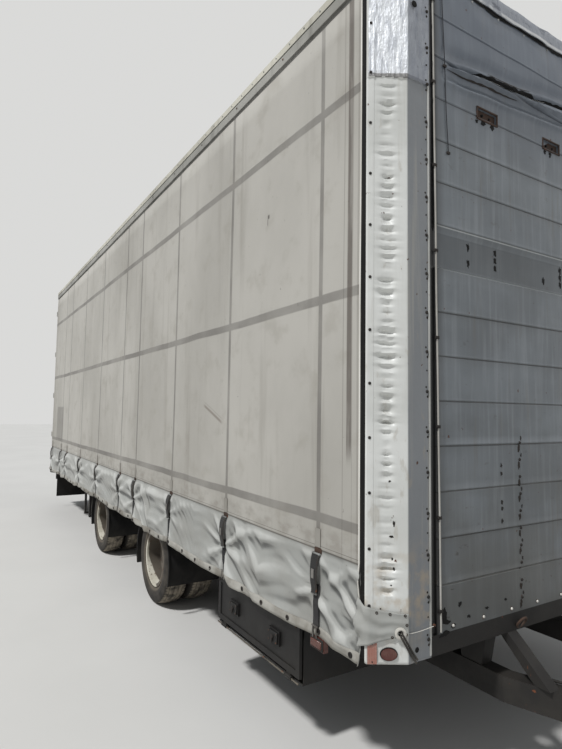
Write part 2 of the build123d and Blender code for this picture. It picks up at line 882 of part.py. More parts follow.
pole_y = curtain_face - curtain_thickness - seat_gap - pole_radius
with BuildPart() as curtain_poles:
    for side_name, side in sides:
        with BuildSketch(Plane.XY.offset(floor_height)):
            for place in (front_pole_behind, rear_pole_behind):
                with Locations((behind(place), side * pole_y)):
                    Circle(pole_radius)
        extrude(amount=roof_rail_bottom - track_lip_drop - floor_height)
curtain_poles.part.label = "curtain_poles"
export_step(curtain_poles.part, "parts/curtain_poles.step")

for side_name, side in sides:
    with BuildPart() as curtain:
        with BuildSketch(Plane.YZ.offset(behind(curtain_front))):
            with Locations((side * (curtain_face - curtain_thickness / 2), curtain_bottom)):
                Rectangle(
                    curtain_thickness,
                    roof_rail_bottom - seat_gap - curtain_bottom,
                    align=(Align.CENTER, Align.MIN),
                )
        extrude(amount=-(curtain_rear - curtain_front))
    curtain.part.label = f"curtain_{side_name}"
    export_step(curtain.part, f"parts/curtain_{side_name}.step")

# Drawbar: two hollow arms that meet at a nose block, hangers to the main beams, struts to the front beam

nose_x = front_x + nose_reach
arm_run = hypot(nose_reach, beam_y - nose_half_width)
arm_turn = degrees(atan2(beam_y - nose_half_width, nose_reach))
with BuildPart() as drawbar:
    for side_name, side in sides:
        with BuildSketch(Plane.XY.offset(arm_bottom)):
            with Locations((behind(arm_rear), side * beam_y)):
                Rectangle(arm_rear, arm_width, align=(Align.MIN, Align.CENTER))
            with Locations(Location((front_x, side * beam_y), -side * arm_turn)):
                Rectangle(arm_run, arm_width, align=(Align.MIN, Align.CENTER))
            with Locations((front_x, side * beam_y)):
                Circle(arm_width / 2)
        extrude(amount=arm_height)
        with BuildSketch(Plane.YZ.offset(behind(arm_rear))):
            with Locations((side * beam_y, eye_height)):
                Rectangle(arm_width - 2 * arm_wall, arm_height - 2 * arm_wall)
        extrude(amount=arm_open_depth, mode=Mode.SUBTRACT)
        for place in hanger_places:
            with BuildSketch(Plane.XZ.offset(-side * beam_y - drawbar_hanger_width / 2)):
                with BuildLine():
                    Polyline(
                        (behind(place) - drawbar_hanger_length / 2, arm_bottom + arm_height),
                        (behind(place) + drawbar_hanger_length / 2, arm_bottom + arm_height),
                        (behind(place) + drawbar_hanger_length / 2 + drawbar_hanger_spread, beam_underside),
                        (behind(place) - drawbar_hanger_length / 2 - drawbar_hanger_spread, beam_underside),
                        close=True,
                    )
                make_face()
            extrude(amount=drawbar_hanger_width)
        strut_y = beam_y - strut_reach * (beam_y - nose_half_width) / nose_reach
        with BuildSketch(Plane.XZ.offset(-side * (strut_y + beam_y) / 2 - strut_width / 2)):
            with BuildLine():
                Polyline(
                    (front_x - strut_depth, front_end_bottom),
                    (front_x, front_end_bottom),
                    (front_x + strut_reach, arm_bottom + arm_height),
                    (front_x + strut_reach - strut_foot, arm_bottom + arm_height),
                    close=True,
                )
            make_face()
        extrude(amount=strut_width)
    with BuildSketch(Plane.XY.offset(arm_bottom)):
        with Locations((nose_x, 0)):
            Rectangle(nose_block_length, nose_plate_width, align=(Align.MAX, Align.CENTER))
        with Locations((front_x + jack_reach, 0)):
            Rectangle(jack_tube_size + 2 * jack_socket_wall, jack_cross_length)
            Rectangle(jack_tube_size, jack_tube_size, mode=Mode.SUBTRACT)
    extrude(amount=arm_height)
    with BuildSketch(Plane.YZ.offset(nose_x)):
        with Locations((0, eye_height)):
            Rectangle(eye_flange_width, eye_flange_height)
    extrude(amount=nose_plate)
drawbar.part.label = "drawbar"
export_step(drawbar.part, "parts/drawbar.step")

eye_x = front_x + eye_reach
shank_length = eye_reach - nose_reach - nose_plate - eye_shank_overlap
with BuildPart() as towing_eye:
    with BuildSketch(Plane.YZ.offset(nose_x + nose_plate)):
        with Locations((0, eye_height)):
            RectangleRounded(eye_flange_width, eye_flange_height, eye_flange_corner)
    extrude(amount=eye_flange_thickness)
    with BuildSketch(Plane.YZ.offset(nose_x + nose_plate)):
        with Locations((0, eye_height)):
            Circle(eye_shank_radius)
    extrude(amount=shank_length)
    with BuildSketch(Plane.XZ):
        with BuildLine():
            Polyline(
                (eye_x + eye_bore_radius, eye_height - eye_thickness / 2),
                (eye_x + eye_outer_radius - eye_chamfer, eye_height - eye_thickness / 2),
                (eye_x + eye_outer_radius, eye_height - eye_thickness / 2 + eye_chamfer),
                (eye_x + eye_outer_radius, eye_height + eye_thickness / 2 - eye_chamfer),
                (eye_x + eye_outer_radius - eye_chamfer, eye_height + eye_thickness / 2),
                (eye_x + eye_bore_radius, eye_height + eye_thickness / 2),
                close=True,
            )
        make_face()
    revolve(axis=Axis((eye_x, 0, 0), (0, 0, 1)))
towing_eye.part.label = "towing_eye"
export_step(towing_eye.part, "parts/towing_eye.step")

# Parking jack: square tube with a foot below, and a crank handle on its gear head

jack_x = front_x + jack_reach
crank_z = jack_top - crank_drop
with BuildPart() as parking_jack:
    with BuildSketch(Plane.XY.offset(jack_tube_bottom)):
        with Locations((jack_x, 0)):
            Rectangle(jack_tube_size, jack_tube_size)
    extrude(amount=jack_top - jack_tube_bottom)
    with BuildSketch(Plane.XY.offset(jack_top)):
        with Locations((jack_x, 0)):
            Rectangle(jack_cap_size, jack_cap_size)
    extrude(amount=jack_cap_height)
    with BuildSketch(Plane.XY):
        with Locations((jack_x, 0)):
            Rectangle(jack_leg_size, jack_leg_size)
    extrude(amount=jack_tube_bottom)
    with BuildSketch(Plane.XY):
        with Locations((jack_x, 0)):
            Circle(jack_foot_radius)
    extrude(amount=jack_foot_thickness)
    with BuildSketch(Plane.XY.offset(jack_foot_thickness)):
        with Locations((jack_x, 0)):
            Circle(jack_cone_radius)
    extrude(amount=jack_cone_height, taper=jack_cone_taper)
    with BuildSketch(Plane.XZ.offset(jack_tube_size / 2)):
        with Locations((jack_x, crank_z)):
            Circle(crank_shaft_radius)
    extrude(amount=crank_reach)
    with BuildSketch(Plane.XZ.offset(jack_tube_size / 2 + crank_reach - 2 * crank_shaft_radius)):
        with Locations((jack_x, crank_z - crank_throw / 2)):
            SlotCenterToCenter(crank_throw, 2 * crank_shaft_radius, rotation=90)
    extrude(amount=crank_shaft_radius)
    with BuildSketch(Plane.XZ.offset(jack_tube_size / 2 + crank_reach - crank_shaft_radius)):
        with Locations((jack_x, crank_z - crank_throw)):
            Circle(crank_grip_radius)
    extrude(amount=crank_grip)
parking_jack.part.label = "parking_jack"
export_step(parking_jack.part, "parts/parking_jack.step")

# Axles: a tube with spring seats and brake back plates, and at each end a camshaft that runs
# from the drum to a slack adjuster, with the brake chamber that pushes it

back_plate_y = disc_y - drum_end - back_plate_gap
cam_shaft_z = axle_height - cam_shaft_drop
chamber_z = cam_shaft_z + brake_chamber_rise
with BuildPart() as axles:
    for axle_name, axle_behind in axle_table:
        middle_x = behind(axle_behind)
        shaft_x = middle_x - cam_shaft_behind
        chamber_x = shaft_x - chamber_standoff
        with BuildSketch(Plane.XZ.offset(-back_plate_y)):
            with Locations((middle_x, axle_height)):
                Circle(axle_radius)
        extrude(amount=2 * back_plate_y)
        with BuildSketch(Plane.XZ.offset(-(disc_y + spindle_reach))):
            with Locations((middle_x, axle_height)):
                Circle(spindle_radius)
        extrude(amount=2 * (disc_y + spindle_reach))
        for side_name, side in sides:
            with BuildSketch(Plane.XY.offset(axle_height)):
                with Locations((middle_x, side * spring_y)):
                    Rectangle(spring_seat_length, 2 * spring_seat_half_width)
            extrude(amount=axle_radius + spring_seat_height)
            with BuildSketch(Plane.XZ.offset(-side * back_plate_y)):
                with Locations((middle_x, axle_height)):
                    Circle(back_plate_radius)
            extrude(amount=side * back_plate_thickness)
            with BuildSketch(Plane.XZ.offset(-side * back_plate_y)):
                with Locations((shaft_x, cam_shaft_z)):
                    Circle(cam_shaft_radius)
            extrude(amount=side * (back_plate_y - brake_chamber_y))
            with BuildSketch(Plane.XZ.offset(-side * brake_chamber_y - slack_adjuster_width / 2)):
                with Locations((shaft_x, (cam_shaft_z + chamber_z) / 2)):
                    SlotCenterToCenter(brake_chamber_rise, 3 * cam_shaft_radius, rotation=90)
            extrude(amount=slack_adjuster_width)
            with BuildSketch(Plane.XZ.offset(-side * (brake_chamber_y + cam_bracket_shift))):
                with Locations((middle_x, cam_shaft_z)):
                    Rectangle(middle_x - chamber_x, 3 * cam_shaft_radius, align=(Align.MAX, Align.CENTER))
            extrude(amount=cam_bracket_thickness / 2, both=True)
            with BuildSketch(Plane.YZ.offset(chamber_x)):
                with Locations((
                    side * (brake_chamber_y + cam_bracket_shift / 2),
                    (cam_shaft_z + chamber_z) / 2,
                )):
                    Rectangle(
                        cam_bracket_shift + brake_chamber_radius,
                        brake_chamber_rise + brake_chamber_radius,
                    )
            extrude(amount=-cam_bracket_thickness)
            with BuildSketch(Plane.YZ.offset(chamber_x)):
                with Locations((side * brake_chamber_y, chamber_z)):
                    Circle(push_rod_radius)
            extrude(amount=chamber_standoff)
            with BuildSketch(Plane(
                origin=(chamber_x - cam_bracket_thickness, side * brake_chamber_y, chamber_z),
                x_dir=(-1, 0, 0),
                z_dir=(0, 1, 0),
            )):
                clamp_start = (brake_chamber_length - brake_clamp_width) / 2
                with BuildLine():
                    Polyline(
                        (0, 0),
                        (0, brake_chamber_radius),
                        (clamp_start, brake_chamber_radius),
                        (clamp_start, brake_chamber_radius + brake_chamber_rim),
                        (clamp_start + brake_clamp_width, brake_chamber_radius + brake_chamber_rim),
                        (clamp_start + brake_clamp_width, brake_chamber_radius),
                        (brake_chamber_length - brake_chamber_round, brake_chamber_radius),
                        (brake_chamber_length, brake_chamber_radius - brake_chamber_round),
                        (brake_chamber_length, 0),
                        close=True,
                    )
                make_face()
            revolve(axis=Axis((chamber_x, side * brake_chamber_y, chamber_z), (1, 0, 0)))
axles.part.label = "axles"
export_step(axles.part, "parts/axles.step")

# Leaf springs: stepped packs with rolled eyes on pins in plate hangers, clamped to the axles by U-bolts

pack_height = spring_pack * spring_leaf
spring_bottom = axle_height + axle_radius + spring_seat_height
spring_eye_z = beam_underside - spring_eye_drop
spring_camber = spring_eye_z - spring_eye_radius - (spring_pack - 1) * spring_leaf - spring_bottom
clip_bottom = spring_bottom + pack_height
under_plate_top = axle_height - axle_radius - seat_gap
u_bolt_x = axle_radius + u_bolt_radius + 1.0
u_bolt_y = spring_seat_half_width + u_bolt_radius + seat_gap
clip_length = 2 * (u_bolt_x + u_bolt_margin)
clip_width = 2 * (u_bolt_y + u_bolt_margin)
with BuildPart() as leaf_springs:
    for axle_name, axle_behind in axle_table:
        middle_x = behind(axle_behind)
        for side_name, side in sides:
            with BuildSketch(Plane.XZ.offset(-side * spring_y - spring_width / 2)):
                for leaf in range(spring_pack):
                    reach = spring_half_length * (1 - leaf_step * (spring_pack - 1 - leaf))
                    rise = spring_camber * (reach / spring_half_length) ** 2
                    low = spring_bottom + leaf * spring_leaf
                    with BuildLine():
                        ThreePointArc(
                            (middle_x - reach, low + rise), (middle_x, low), (middle_x + reach, low + rise)
                        )
                        Line(
                            (middle_x + reach, low + rise),
                            (middle_x + reach, low + rise + spring_leaf),
                        )
                        ThreePointArc(
                            (middle_x + reach, low + rise + spring_leaf),
                            (middle_x, low + spring_leaf),
                            (middle_x - reach, low + rise + spring_leaf),
                        )
                        Line(
                            (middle_x - reach, low + rise + spring_leaf),
                            (middle_x - reach, low + rise),
                        )
                    make_face()
                with Locations((middle_x, spring_eye_z)):
                    with GridLocations(2 * spring_half_length, 0, 2, 1):
                        Circle(spring_eye_radius)
            extrude(amount=spring_width)
            for end in (-1, 1):
                eye_end_x = middle_x + end * spring_half_length
                for plate in (-1, 1):
                    plate_y = side * spring_y + plate * (spring_width + hanger_thickness) / 2
                    with BuildSketch(Plane.XZ.offset(-plate_y - hanger_thickness / 2)):
                        with BuildLine():
                            Polyline(
                                (eye_end_x - hanger_top_length / 2, beam_underside),
                                (eye_end_x + hanger_top_length / 2, beam_underside),
                                (eye_end_x + hanger_tip_radius, spring_eye_z),
                                (eye_end_x - hanger_tip_radius, spring_eye_z),
                                close=True,
                            )
                        make_face()
                        with Locations((eye_end_x, spring_eye_z)):
                            Circle(hanger_tip_radius)
                    extrude(amount=hanger_thickness)
                pin_length = spring_width + 2 * (hanger_thickness + spring_pin_reach)
                with BuildSketch(Plane.XZ.offset(-side * spring_y - pin_length / 2)):
                    with Locations((eye_end_x, spring_eye_z)):
                        Circle(spring_pin_radius)
                extrude(amount=pin_length)
            with BuildSketch(Plane.XY.offset(clip_bottom)):
                with Locations((middle_x, side * spring_y)):
                    Rectangle(clip_length, clip_width)
            extrude(amount=clip_plate_thickness)
            with BuildSketch(Plane.XY.offset(under_plate_top)):
                with Locations((middle_x, side * spring_y)):
                    Rectangle(clip_length, clip_width)
            extrude(amount=-clip_plate_thickness)
            with BuildSketch(Plane.XY.offset(under_plate_top)):
                with Locations((middle_x, side * spring_y)):
                    with GridLocations(2 * u_bolt_x, 2 * u_bolt_y, 2, 2):
                        Circle(u_bolt_radius)
            extrude(amount=clip_bottom - under_plate_top)
leaf_springs.part.label = "leaf_springs"
export_step(leaf_springs.part, "parts/leaf_springs.step")

with BuildPart() as mudguards:
    for axle_name, axle_behind in axle_table:
        middle_x = behind(axle_behind)
        for side_name, side in sides:
            guard_middle_y = side * (guard_inner_y + guard_outer_y) / 2
            guard_half_width = (guard_outer_y - guard_inner_y) / 2
            with BuildSketch(Plane.XZ.offset(-guard_middle_y)):
                with Locations((middle_x, axle_height)):
                    Circle(guard_radius + guard_thickness)
                    Circle(guard_radius, mode=Mode.SUBTRACT)
                with Locations((middle_x, axle_height - guard_end_drop)):
                    Rectangle(
                        3 * guard_radius,
                        guard_radius,
                        align=(Align.CENTER, Align.MAX),
                        mode=Mode.SUBTRACT,
                    )
            extrude(amount=guard_half_width, both=True)
            for edge in (-1, 1):
                lip_y = guard_middle_y + edge * (guard_half_width - guard_lip_width / 2)
                with BuildSketch(Plane.XZ.offset(-lip_y)):
                    with Locations((middle_x, axle_height)):
                        Circle(guard_radius + guard_thickness + guard_lip)
                        Circle(guard_radius, mode=Mode.SUBTRACT)
                    with Locations((middle_x, axle_height - guard_end_drop)):
                        Rectangle(
                            3 * guard_radius,
                            guard_radius,
                            align=(Align.CENTER, Align.MAX),
                            mode=Mode.SUBTRACT,
                        )
                extrude(amount=guard_lip_width / 2, both=True)
            for place in range(cross_member_count):
                stay_x = behind(first_cross_member + place * cross_member_pitch)
                if abs(stay_x - middle_x) < guard_radius:
                    reach = sqrt((guard_radius + guard_thickness / 2) ** 2 - (stay_x - middle_x) ** 2)
                    with BuildSketch(Plane.XY.offset(axle_height + reach)):
                        with Locations((stay_x, guard_middle_y)):
                            Rectangle(guard_stay_thickness, guard_stay_width)
                    extrude(amount=cross_member_underside - axle_height - reach)
mudguards.part.label = "mudguards"
export_step(mudguards.part, "parts/mudguards.step")

# Wheels: twin tyres, and twin rims bolted back to back on one hub with its brake drum

for axle_name, axle_behind in axle_table:
    for side_name, side in sides:
        wheel_plane = Plane(
            origin=(behind(axle_behind), side * disc_y, axle_height),
            x_dir=(1, 0, 0),
            z_dir=(0, 0, 1),
        )
        with BuildPart() as tyres:
            for twin in (-1, 1):
                middle = side * twin * twin_spacing / 2
                with BuildSketch(wheel_plane):
                    with BuildLine():
                        Line((bead_radius, middle - bead_half_width), (bead_radius, middle + bead_half_width))
                        Line(
                            (bead_radius, middle + bead_half_width),
                            (bead_top_radius, middle + bead_half_width),
                        )
                        ThreePointArc(
                            (bead_top_radius, middle + bead_half_width),
                            (sidewall_radius, middle + tyre_width / 2),
                            (shoulder_radius, middle + tread_half_width),
                        )
                        ThreePointArc(
                            (shoulder_radius, middle + tread_half_width),
                            (tyre_radius, middle),
                            (shoulder_radius, middle - tread_half_width),
                        )
                        ThreePointArc(
                            (shoulder_radius, middle - tread_half_width),
                            (sidewall_radius, middle - tyre_width / 2),
                            (bead_top_radius, middle - bead_half_width),
                        )
                        Line(
                            (bead_top_radius, middle - bead_half_width),
                            (bead_radius, middle - bead_half_width),
                        )
                    make_face()
                revolve(axis=Axis(wheel_plane.origin, (0, 1, 0)))
        tyres.part.label = f"tyres_{axle_name}_{side_name}"
        export_step(tyres.part, f"parts/tyres_{axle_name}_{side_name}.step")

        with BuildPart() as wheel:
            for twin in (-1, 1):
                toward = side * twin
                rim_inner = twin_spacing / 2 - rim_half_width
                rim_outer = twin_spacing / 2 + rim_half_width
                with BuildSketch(wheel_plane):
                    with BuildLine():
                        Polyline(
                            (rim_lip_radius, toward * rim_inner),
                            (rim_lip_radius, toward * (rim_inner + rim_thickness)),
                            (bead_radius - seat_gap, toward * (rim_inner + rim_thickness)),
                            (bead_radius - seat_gap, toward * (rim_outer - rim_thickness)),
                            (rim_lip_radius, toward * (rim_outer - rim_thickness)),
                            (rim_lip_radius, toward * rim_outer),
                            (barrel_radius, toward * rim_outer),
                            (barrel_radius, toward * (rim_inner + rim_cone_length)),
                            (disc_edge_radius + rim_thickness, toward * rim_cone_start),
                            (disc_edge_radius, toward * disc_thickness),
                            (hub_radius - hub_overlap, toward * disc_thickness),
                            (hub_radius - hub_overlap, 0),
                            (disc_edge_radius + rim_thickness, 0),
                            (barrel_radius, toward * rim_inner),
                            close=True,
                        )
                    make_face()
                revolve(axis=Axis(wheel_plane.origin, (0, 1, 0)))
            with BuildSketch(wheel_plane):
                with BuildLine():
                    Polyline(
                        (spindle_radius + spindle_gap, -side * drum_end),
                        (drum_flange_radius, -side * drum_end),
                        (drum_flange_radius, -side * (drum_end - drum_flange_width)),
                        (drum_radius, -side * (drum_end - drum_flange_width)),
                        (drum_radius, -side * drum_start),
                        (hub_radius, -side * drum_start),
                        (hub_radius, side * hub_reach),
                        (hub_cap_radius, side * (hub_reach + hub_cap_step)),
                        (hub_cap_radius, side * hub_cap_reach),
                        (0, side * hub_cap_reach),
                        (0, side * (spindle_reach + spindle_end_gap)),
                        (spindle_radius + spindle_gap, side * (spindle_reach + spindle_end_gap)),
                        close=True,
                    )
                make_face()
            revolve(axis=Axis(wheel_plane.origin, (0, 1, 0)))
            with BuildSketch(Plane.XZ.offset(-side * disc_y)):
                with Locations((behind(axle_behind), axle_height)):
                    with PolarLocations(hand_hole_circle, hand_hole_count):
                        Circle(hand_hole_radius)
            extrude(amount=2 * disc_thickness, both=True, mode=Mode.SUBTRACT)
        wheel.part.label = f"wheel_{axle_name}_{side_name}"
        export_step(wheel.part, f"parts/wheel_{axle_name}_{side_name}.step")

# Storage box hung from two cross members, with a drop-down door on its outer side

box_middle_x = behind((box_front + box_rear) / 2)
box_length = box_rear - box_front
ear_half_span = box_barrel_length / 2 + hinge_end_gap
with BuildPart() as tool_box:
    with BuildSketch(Plane.XZ.offset(box_face)):
        with Locations((box_middle_x, (box_bottom + box_top) / 2)):
            Rectangle(box_length, box_top - box_bottom)
    extrude(amount=-box_depth)
    with BuildSketch(Plane.XZ.offset(box_face)):
        with Locations((box_middle_x, (box_bottom + box_top) / 2)):
            Rectangle(box_length - 2 * box_wall, box_top - box_bottom - 2 * box_wall)
    extrude(amount=-(box_depth - box_wall), mode=Mode.SUBTRACT)
    with BuildSketch(Plane.XZ.offset(box_face)):
        with Locations((box_middle_x, box_bottom)):
            Rectangle(box_length, box_wall, align=(Align.CENTER, Align.MIN))
    extrude(amount=box_rail_depth)
    for place in box_hanger_places:
        for hanger_y in (box_face - box_hanger_inset, box_face - box_depth + box_hanger_inset):
            with BuildSketch(Plane.XY.offset(box_top)):
                with Locations((behind(place), -hanger_y)):
                    Rectangle(cross_member_width, box_hanger_thickness)
            extrude(amount=cross_member_underside - box_top)
    for place in box_hinge_places:
        for ear_side in (-1, 1):
            ear_x = behind(place) + ear_side * (ear_half_span + box_ear_thickness / 2)
            with BuildSketch(Plane.YZ.offset(ear_x - box_ear_thickness / 2)):
                with Locations((-box_pin_y, box_pin_z)):
                    Circle(box_barrel_radius)
                with Locations((-box_pin_y, box_bottom)):
                    Rectangle(box_pin_y - box_face, box_wall, align=(Align.MIN, Align.MIN))
            extrude(amount=box_ear_thickness)
        with BuildSketch(Plane.YZ.offset(behind(place) - ear_half_span)):
            with Locations((-box_pin_y, box_pin_z)):
                Circle(box_pin_radius)
        extrude(amount=2 * ear_half_span)
tool_box.part.label = "tool_box"
export_step(tool_box.part, "parts/tool_box.step")

box_door_face = box_face + box_door_gap + box_door_thickness
box_door_middle_z = (box_door_bottom + box_door_top) / 2
with BuildPart() as tool_box_door:
    with BuildSketch(Plane.XZ.offset(box_face + box_door_gap)):
        with Locations((box_middle_x, box_door_middle_z)):
            Rectangle(box_length - 2 * box_door_end_gap, box_door_top - box_door_bottom)
    extrude(amount=box_door_thickness)
    with BuildSketch(Plane.XZ.offset(box_door_face)):
        with Locations((box_middle_x, box_door_middle_z)):
            Rectangle(
                box_length - 2 * (box_door_end_gap + box_door_frame),
                box_door_top - box_door_bottom - 2 * box_door_frame,
            )
    extrude(amount=-box_door_recess, mode=Mode.SUBTRACT)
    with BuildSketch(Plane.XZ.offset(box_door_face - box_door_recess)):
        for place in box_latch_places:
            with Locations((behind(place), box_door_middle_z)):
                Rectangle(box_latch_width, box_latch_height)
    extrude(amount=box_door_recess + box_latch_thickness)
    for place in box_hinge_places:
        with BuildSketch(Plane.YZ.offset(behind(place) - box_barrel_length / 2)):
            with Locations((-box_pin_y, box_pin_z)):
                Circle(box_barrel_radius)
            with Locations((-box_door_face, box_pin_z)):
                Rectangle(
                    box_tongue_thickness,
                    box_door_bottom - box_pin_z + box_door_gap,
                    align=(Align.MIN, Align.MIN),
                )
            with Locations((-box_pin_y, box_pin_z)):
                Circle(box_bore_radius, mode=Mode.SUBTRACT)
        extrude(amount=box_barrel_length)
tool_box_door.part.label = "tool_box_door"
export_step(tool_box_door.part, "parts/tool_box_door.step")

# Spare wheel lying flat in a carrier hung from the cross members

spare_x = behind(spare_behind)
spare_plane = Plane(origin=(spare_x, spare_y, spare_height), x_dir=(1, 0, 0), z_dir=(0, -1, 0))
spare_axis = Axis((spare_x, spare_y, spare_height), (0, 0, 1))
with BuildPart() as spare_tyre:
    with BuildSketch(spare_plane):
        with BuildLine():
            Line((bead_radius, -bead_half_width), (bead_radius, bead_half_width))
            Line((bead_radius, bead_half_width), (bead_top_radius, bead_half_width))
            ThreePointArc(
                (bead_top_radius, bead_half_width),
                (sidewall_radius, tyre_width / 2),
                (shoulder_radius, tread_half_width),
            )
            ThreePointArc(
                (shoulder_radius, tread_half_width),
                (tyre_radius, 0),
                (shoulder_radius, -tread_half_width),
            )
            ThreePointArc(
                (shoulder_radius, -tread_half_width),
                (sidewall_radius, -tyre_width / 2),
                (bead_top_radius, -bead_half_width),
            )
            Line((bead_top_radius, -bead_half_width), (bead_radius, -bead_half_width))
        make_face()
    revolve(axis=spare_axis)
spare_tyre.part.label = "spare_tyre"
export_step(spare_tyre.part, "parts/spare_tyre.step")

with BuildPart() as spare_rim:
    with BuildSketch(spare_plane):
        with BuildLine():
            Polyline(
                (rim_lip_radius, -rim_half_width),
                (rim_lip_radius, -rim_half_width + rim_thickness),
                (bead_radius - seat_gap, -rim_half_width + rim_thickness),
                (bead_radius - seat_gap, rim_half_width - rim_thickness),
                (rim_lip_radius, rim_half_width - rim_thickness),
                (rim_lip_radius, rim_half_width),
                (barrel_radius, rim_half_width),
                (barrel_radius, -rim_half_width + rim_cone_length),
                (disc_edge_radius, -rim_half_width + disc_thickness),
                (hub_radius, -rim_half_width + disc_thickness),
                (hub_radius, -rim_half_width),
                close=True,
            )
        make_face()
    revolve(axis=spare_axis)
spare_rim.part.label = "spare_rim"
export_step(spare_rim.part, "parts/spare_rim.step")

spare_low = spare_height - tyre_width / 2
with BuildPart() as spare_wheel_carrier:
    for place in carrier_places:
        with BuildSketch(Plane.YZ.offset(behind(place) - carrier_width / 2)):
            with Locations((spare_y, spare_low - seat_gap)):
                Rectangle(
                    2 * carrier_reach + carrier_bar,
                    carrier_bar,
                    align=(Align.CENTER, Align.MAX),
                )
            for end in (-1, 1):
                with Locations((spare_y + end * carrier_reach, spare_low - seat_gap - carrier_bar)):
                    Rectangle(
                        carrier_bar,
                        cross_member_underside - spare_low + seat_gap + carrier_bar,
                        align=(Align.CENTER, Align.MIN),
                    )
        extrude(amount=carrier_width)
    for end in (-1, 1):
        with BuildSketch(Plane.XY.offset(cross_member_underside - carrier_bar)):
            with Locations((behind(carrier_rail_middle), spare_y + end * carrier_reach)):
                Rectangle(carrier_rail_length, carrier_bar)
        extrude(amount=carrier_bar)
spare_wheel_carrier.part.label = "spare_wheel_carrier"
export_step(spare_wheel_carrier.part, "parts/spare_wheel_carrier.step")

# Air tank slung from a cross member by two bands

tank_z = cross_member_underside - tank_drop - tank_radius
with BuildPart() as air_tank:
    with BuildSketch(Plane.XZ.offset(-tank_length / 2)):
        with Locations((behind(tank_behind), tank_z)):
            Circle(tank_radius)
    extrude(amount=tank_length)
    fillet(air_tank.edges().filter_by(GeomType.CIRCLE), tank_end_radius)
    for strap_side in (-1, 1):
        with BuildSketch(Plane.XZ.offset(strap_side * tank_length / 4)):
            with Locations((behind(tank_behind), tank_z)):
                Circle(tank_radius + tank_strap_thickness)
        extrude(amount=tank_strap_width / 2, both=True)
        with BuildSketch(Plane.XY.offset(tank_z + tank_radius - tank_drop)):
            with Locations((behind(tank_behind), strap_side * tank_length / 4)):
                Rectangle(cross_member_width, tank_strap_width)
        extrude(amount=2 * tank_drop)
air_tank.part.label = "air_tank"
export_step(air_tank.part, "parts/air_tank.step")

# Rear underrun guard, mud flap, tail lamps, corner markers and side markers

beam_end_x = rear_x + rear_post_depth
with BuildPart() as underrun_guard:
    with BuildSketch(Plane.XZ.offset(-guard_bar_half_length)):
        with Locations((beam_end_x - guard_bar_depth / 2, guard_bar_bottom + guard_bar_height / 2)):
            RectangleRounded(guard_bar_depth, guard_bar_height, guard_bar_fillet)
    extrude(amount=2 * guard_bar_half_length)
    for side_name, side in sides:
        with BuildSketch(Plane.XY.offset(guard_bar_bottom)):
            with Locations((beam_end_x, side * beam_y)):
                Rectangle(guard_bracket_length, guard_bracket_thickness, align=(Align.MIN, Align.CENTER))
        extrude(amount=beam_underside - guard_bar_bottom)
        with BuildSketch(Plane.XY.offset(flap_top)):
            with Locations((beam_end_x, side * beam_y)):
                Rectangle(
                    behind(flap_behind) - beam_end_x,
                    guard_bracket_thickness,
                    align=(Align.MIN, Align.CENTER),
                )
        extrude(amount=beam_underside - flap_top)
    with BuildSketch(Plane.XY.offset(flap_top)):
        with Locations((behind(flap_behind), 0)):
            Rectangle(flap_rail_depth, 2 * flap_half_width)
    extrude(amount=beam_underside - flap_top)
underrun_guard.part.label = "underrun_guard"
export_step(underrun_guard.part, "parts/underrun_guard.step")

with BuildPart() as rear_mud_flap:
    with BuildSketch(Plane.YZ.offset(behind(flap_behind) - flap_thickness / 2)):
        with Locations((0, flap_bottom)):
            Rectangle(2 * flap_half_width, flap_top - flap_bottom, align=(Align.CENTER, Align.MIN))
    extrude(amount=flap_thickness)
rear_mud_flap.part.label = "rear_mud_flap"
export_step(rear_mud_flap.part, "parts/rear_mud_flap.step")

with BuildPart() as tail_lamps:
    for side_name, side in sides:
        lamp_middle = (side * (lamp_outer_y - lamp_width / 2), rear_bottom - lamp_height / 2)
        with BuildSketch(Plane.YZ.offset(rear_x + sill_inset)):
            with Locations(lamp_middle):
                Rectangle(lamp_width, lamp_height)
        extrude(amount=frame_bar_depth)
        with BuildSketch(Plane.YZ.offset(rear_x + sill_inset)):
            with Locations(lamp_middle):
                with GridLocations(lamp_width / lamp_lens_count, 0, lamp_lens_count, 1):
                    Rectangle(lamp_lens_width, lamp_lens_height)
        extrude(amount=-lamp_lens_reach)
tail_lamps.part.label = "tail_lamps"
export_step(tail_lamps.part, "parts/tail_lamps.step")

guard_bar_top = guard_bar_bottom + guard_bar_height
marker_root_y = guard_bar_half_length - marker_arm_length
marker_head_y = half_width + marker_head_reach
with BuildPart() as corner_markers:
    for side_name, side in sides:
        with BuildSketch(Plane.YZ.offset(beam_end_x - (guard_bar_depth + marker_arm_width) / 2)):
            with BuildLine():
                Polyline(
                    (side * marker_root_y, guard_bar_top),
                    (side * (guard_bar_half_length - guard_bar_fillet), guard_bar_top),
                    (side * (marker_head_y - guard_bar_fillet), guard_bar_top + marker_head_rise / 3),
                    (side * marker_head_y, guard_bar_top + marker_head_rise),
                    (side * (marker_head_y - marker_head_width), guard_bar_top + marker_head_rise),
                    (side * marker_root_y, guard_bar_top + marker_head_rise / 3),
                    close=True,
                )
            make_face()
        extrude(amount=marker_arm_width)
corner_markers.part.label = "corner_markers"
export_step(corner_markers.part, "parts/corner_markers.step")

# Each side marker hangs from the side rail on a flat bracket

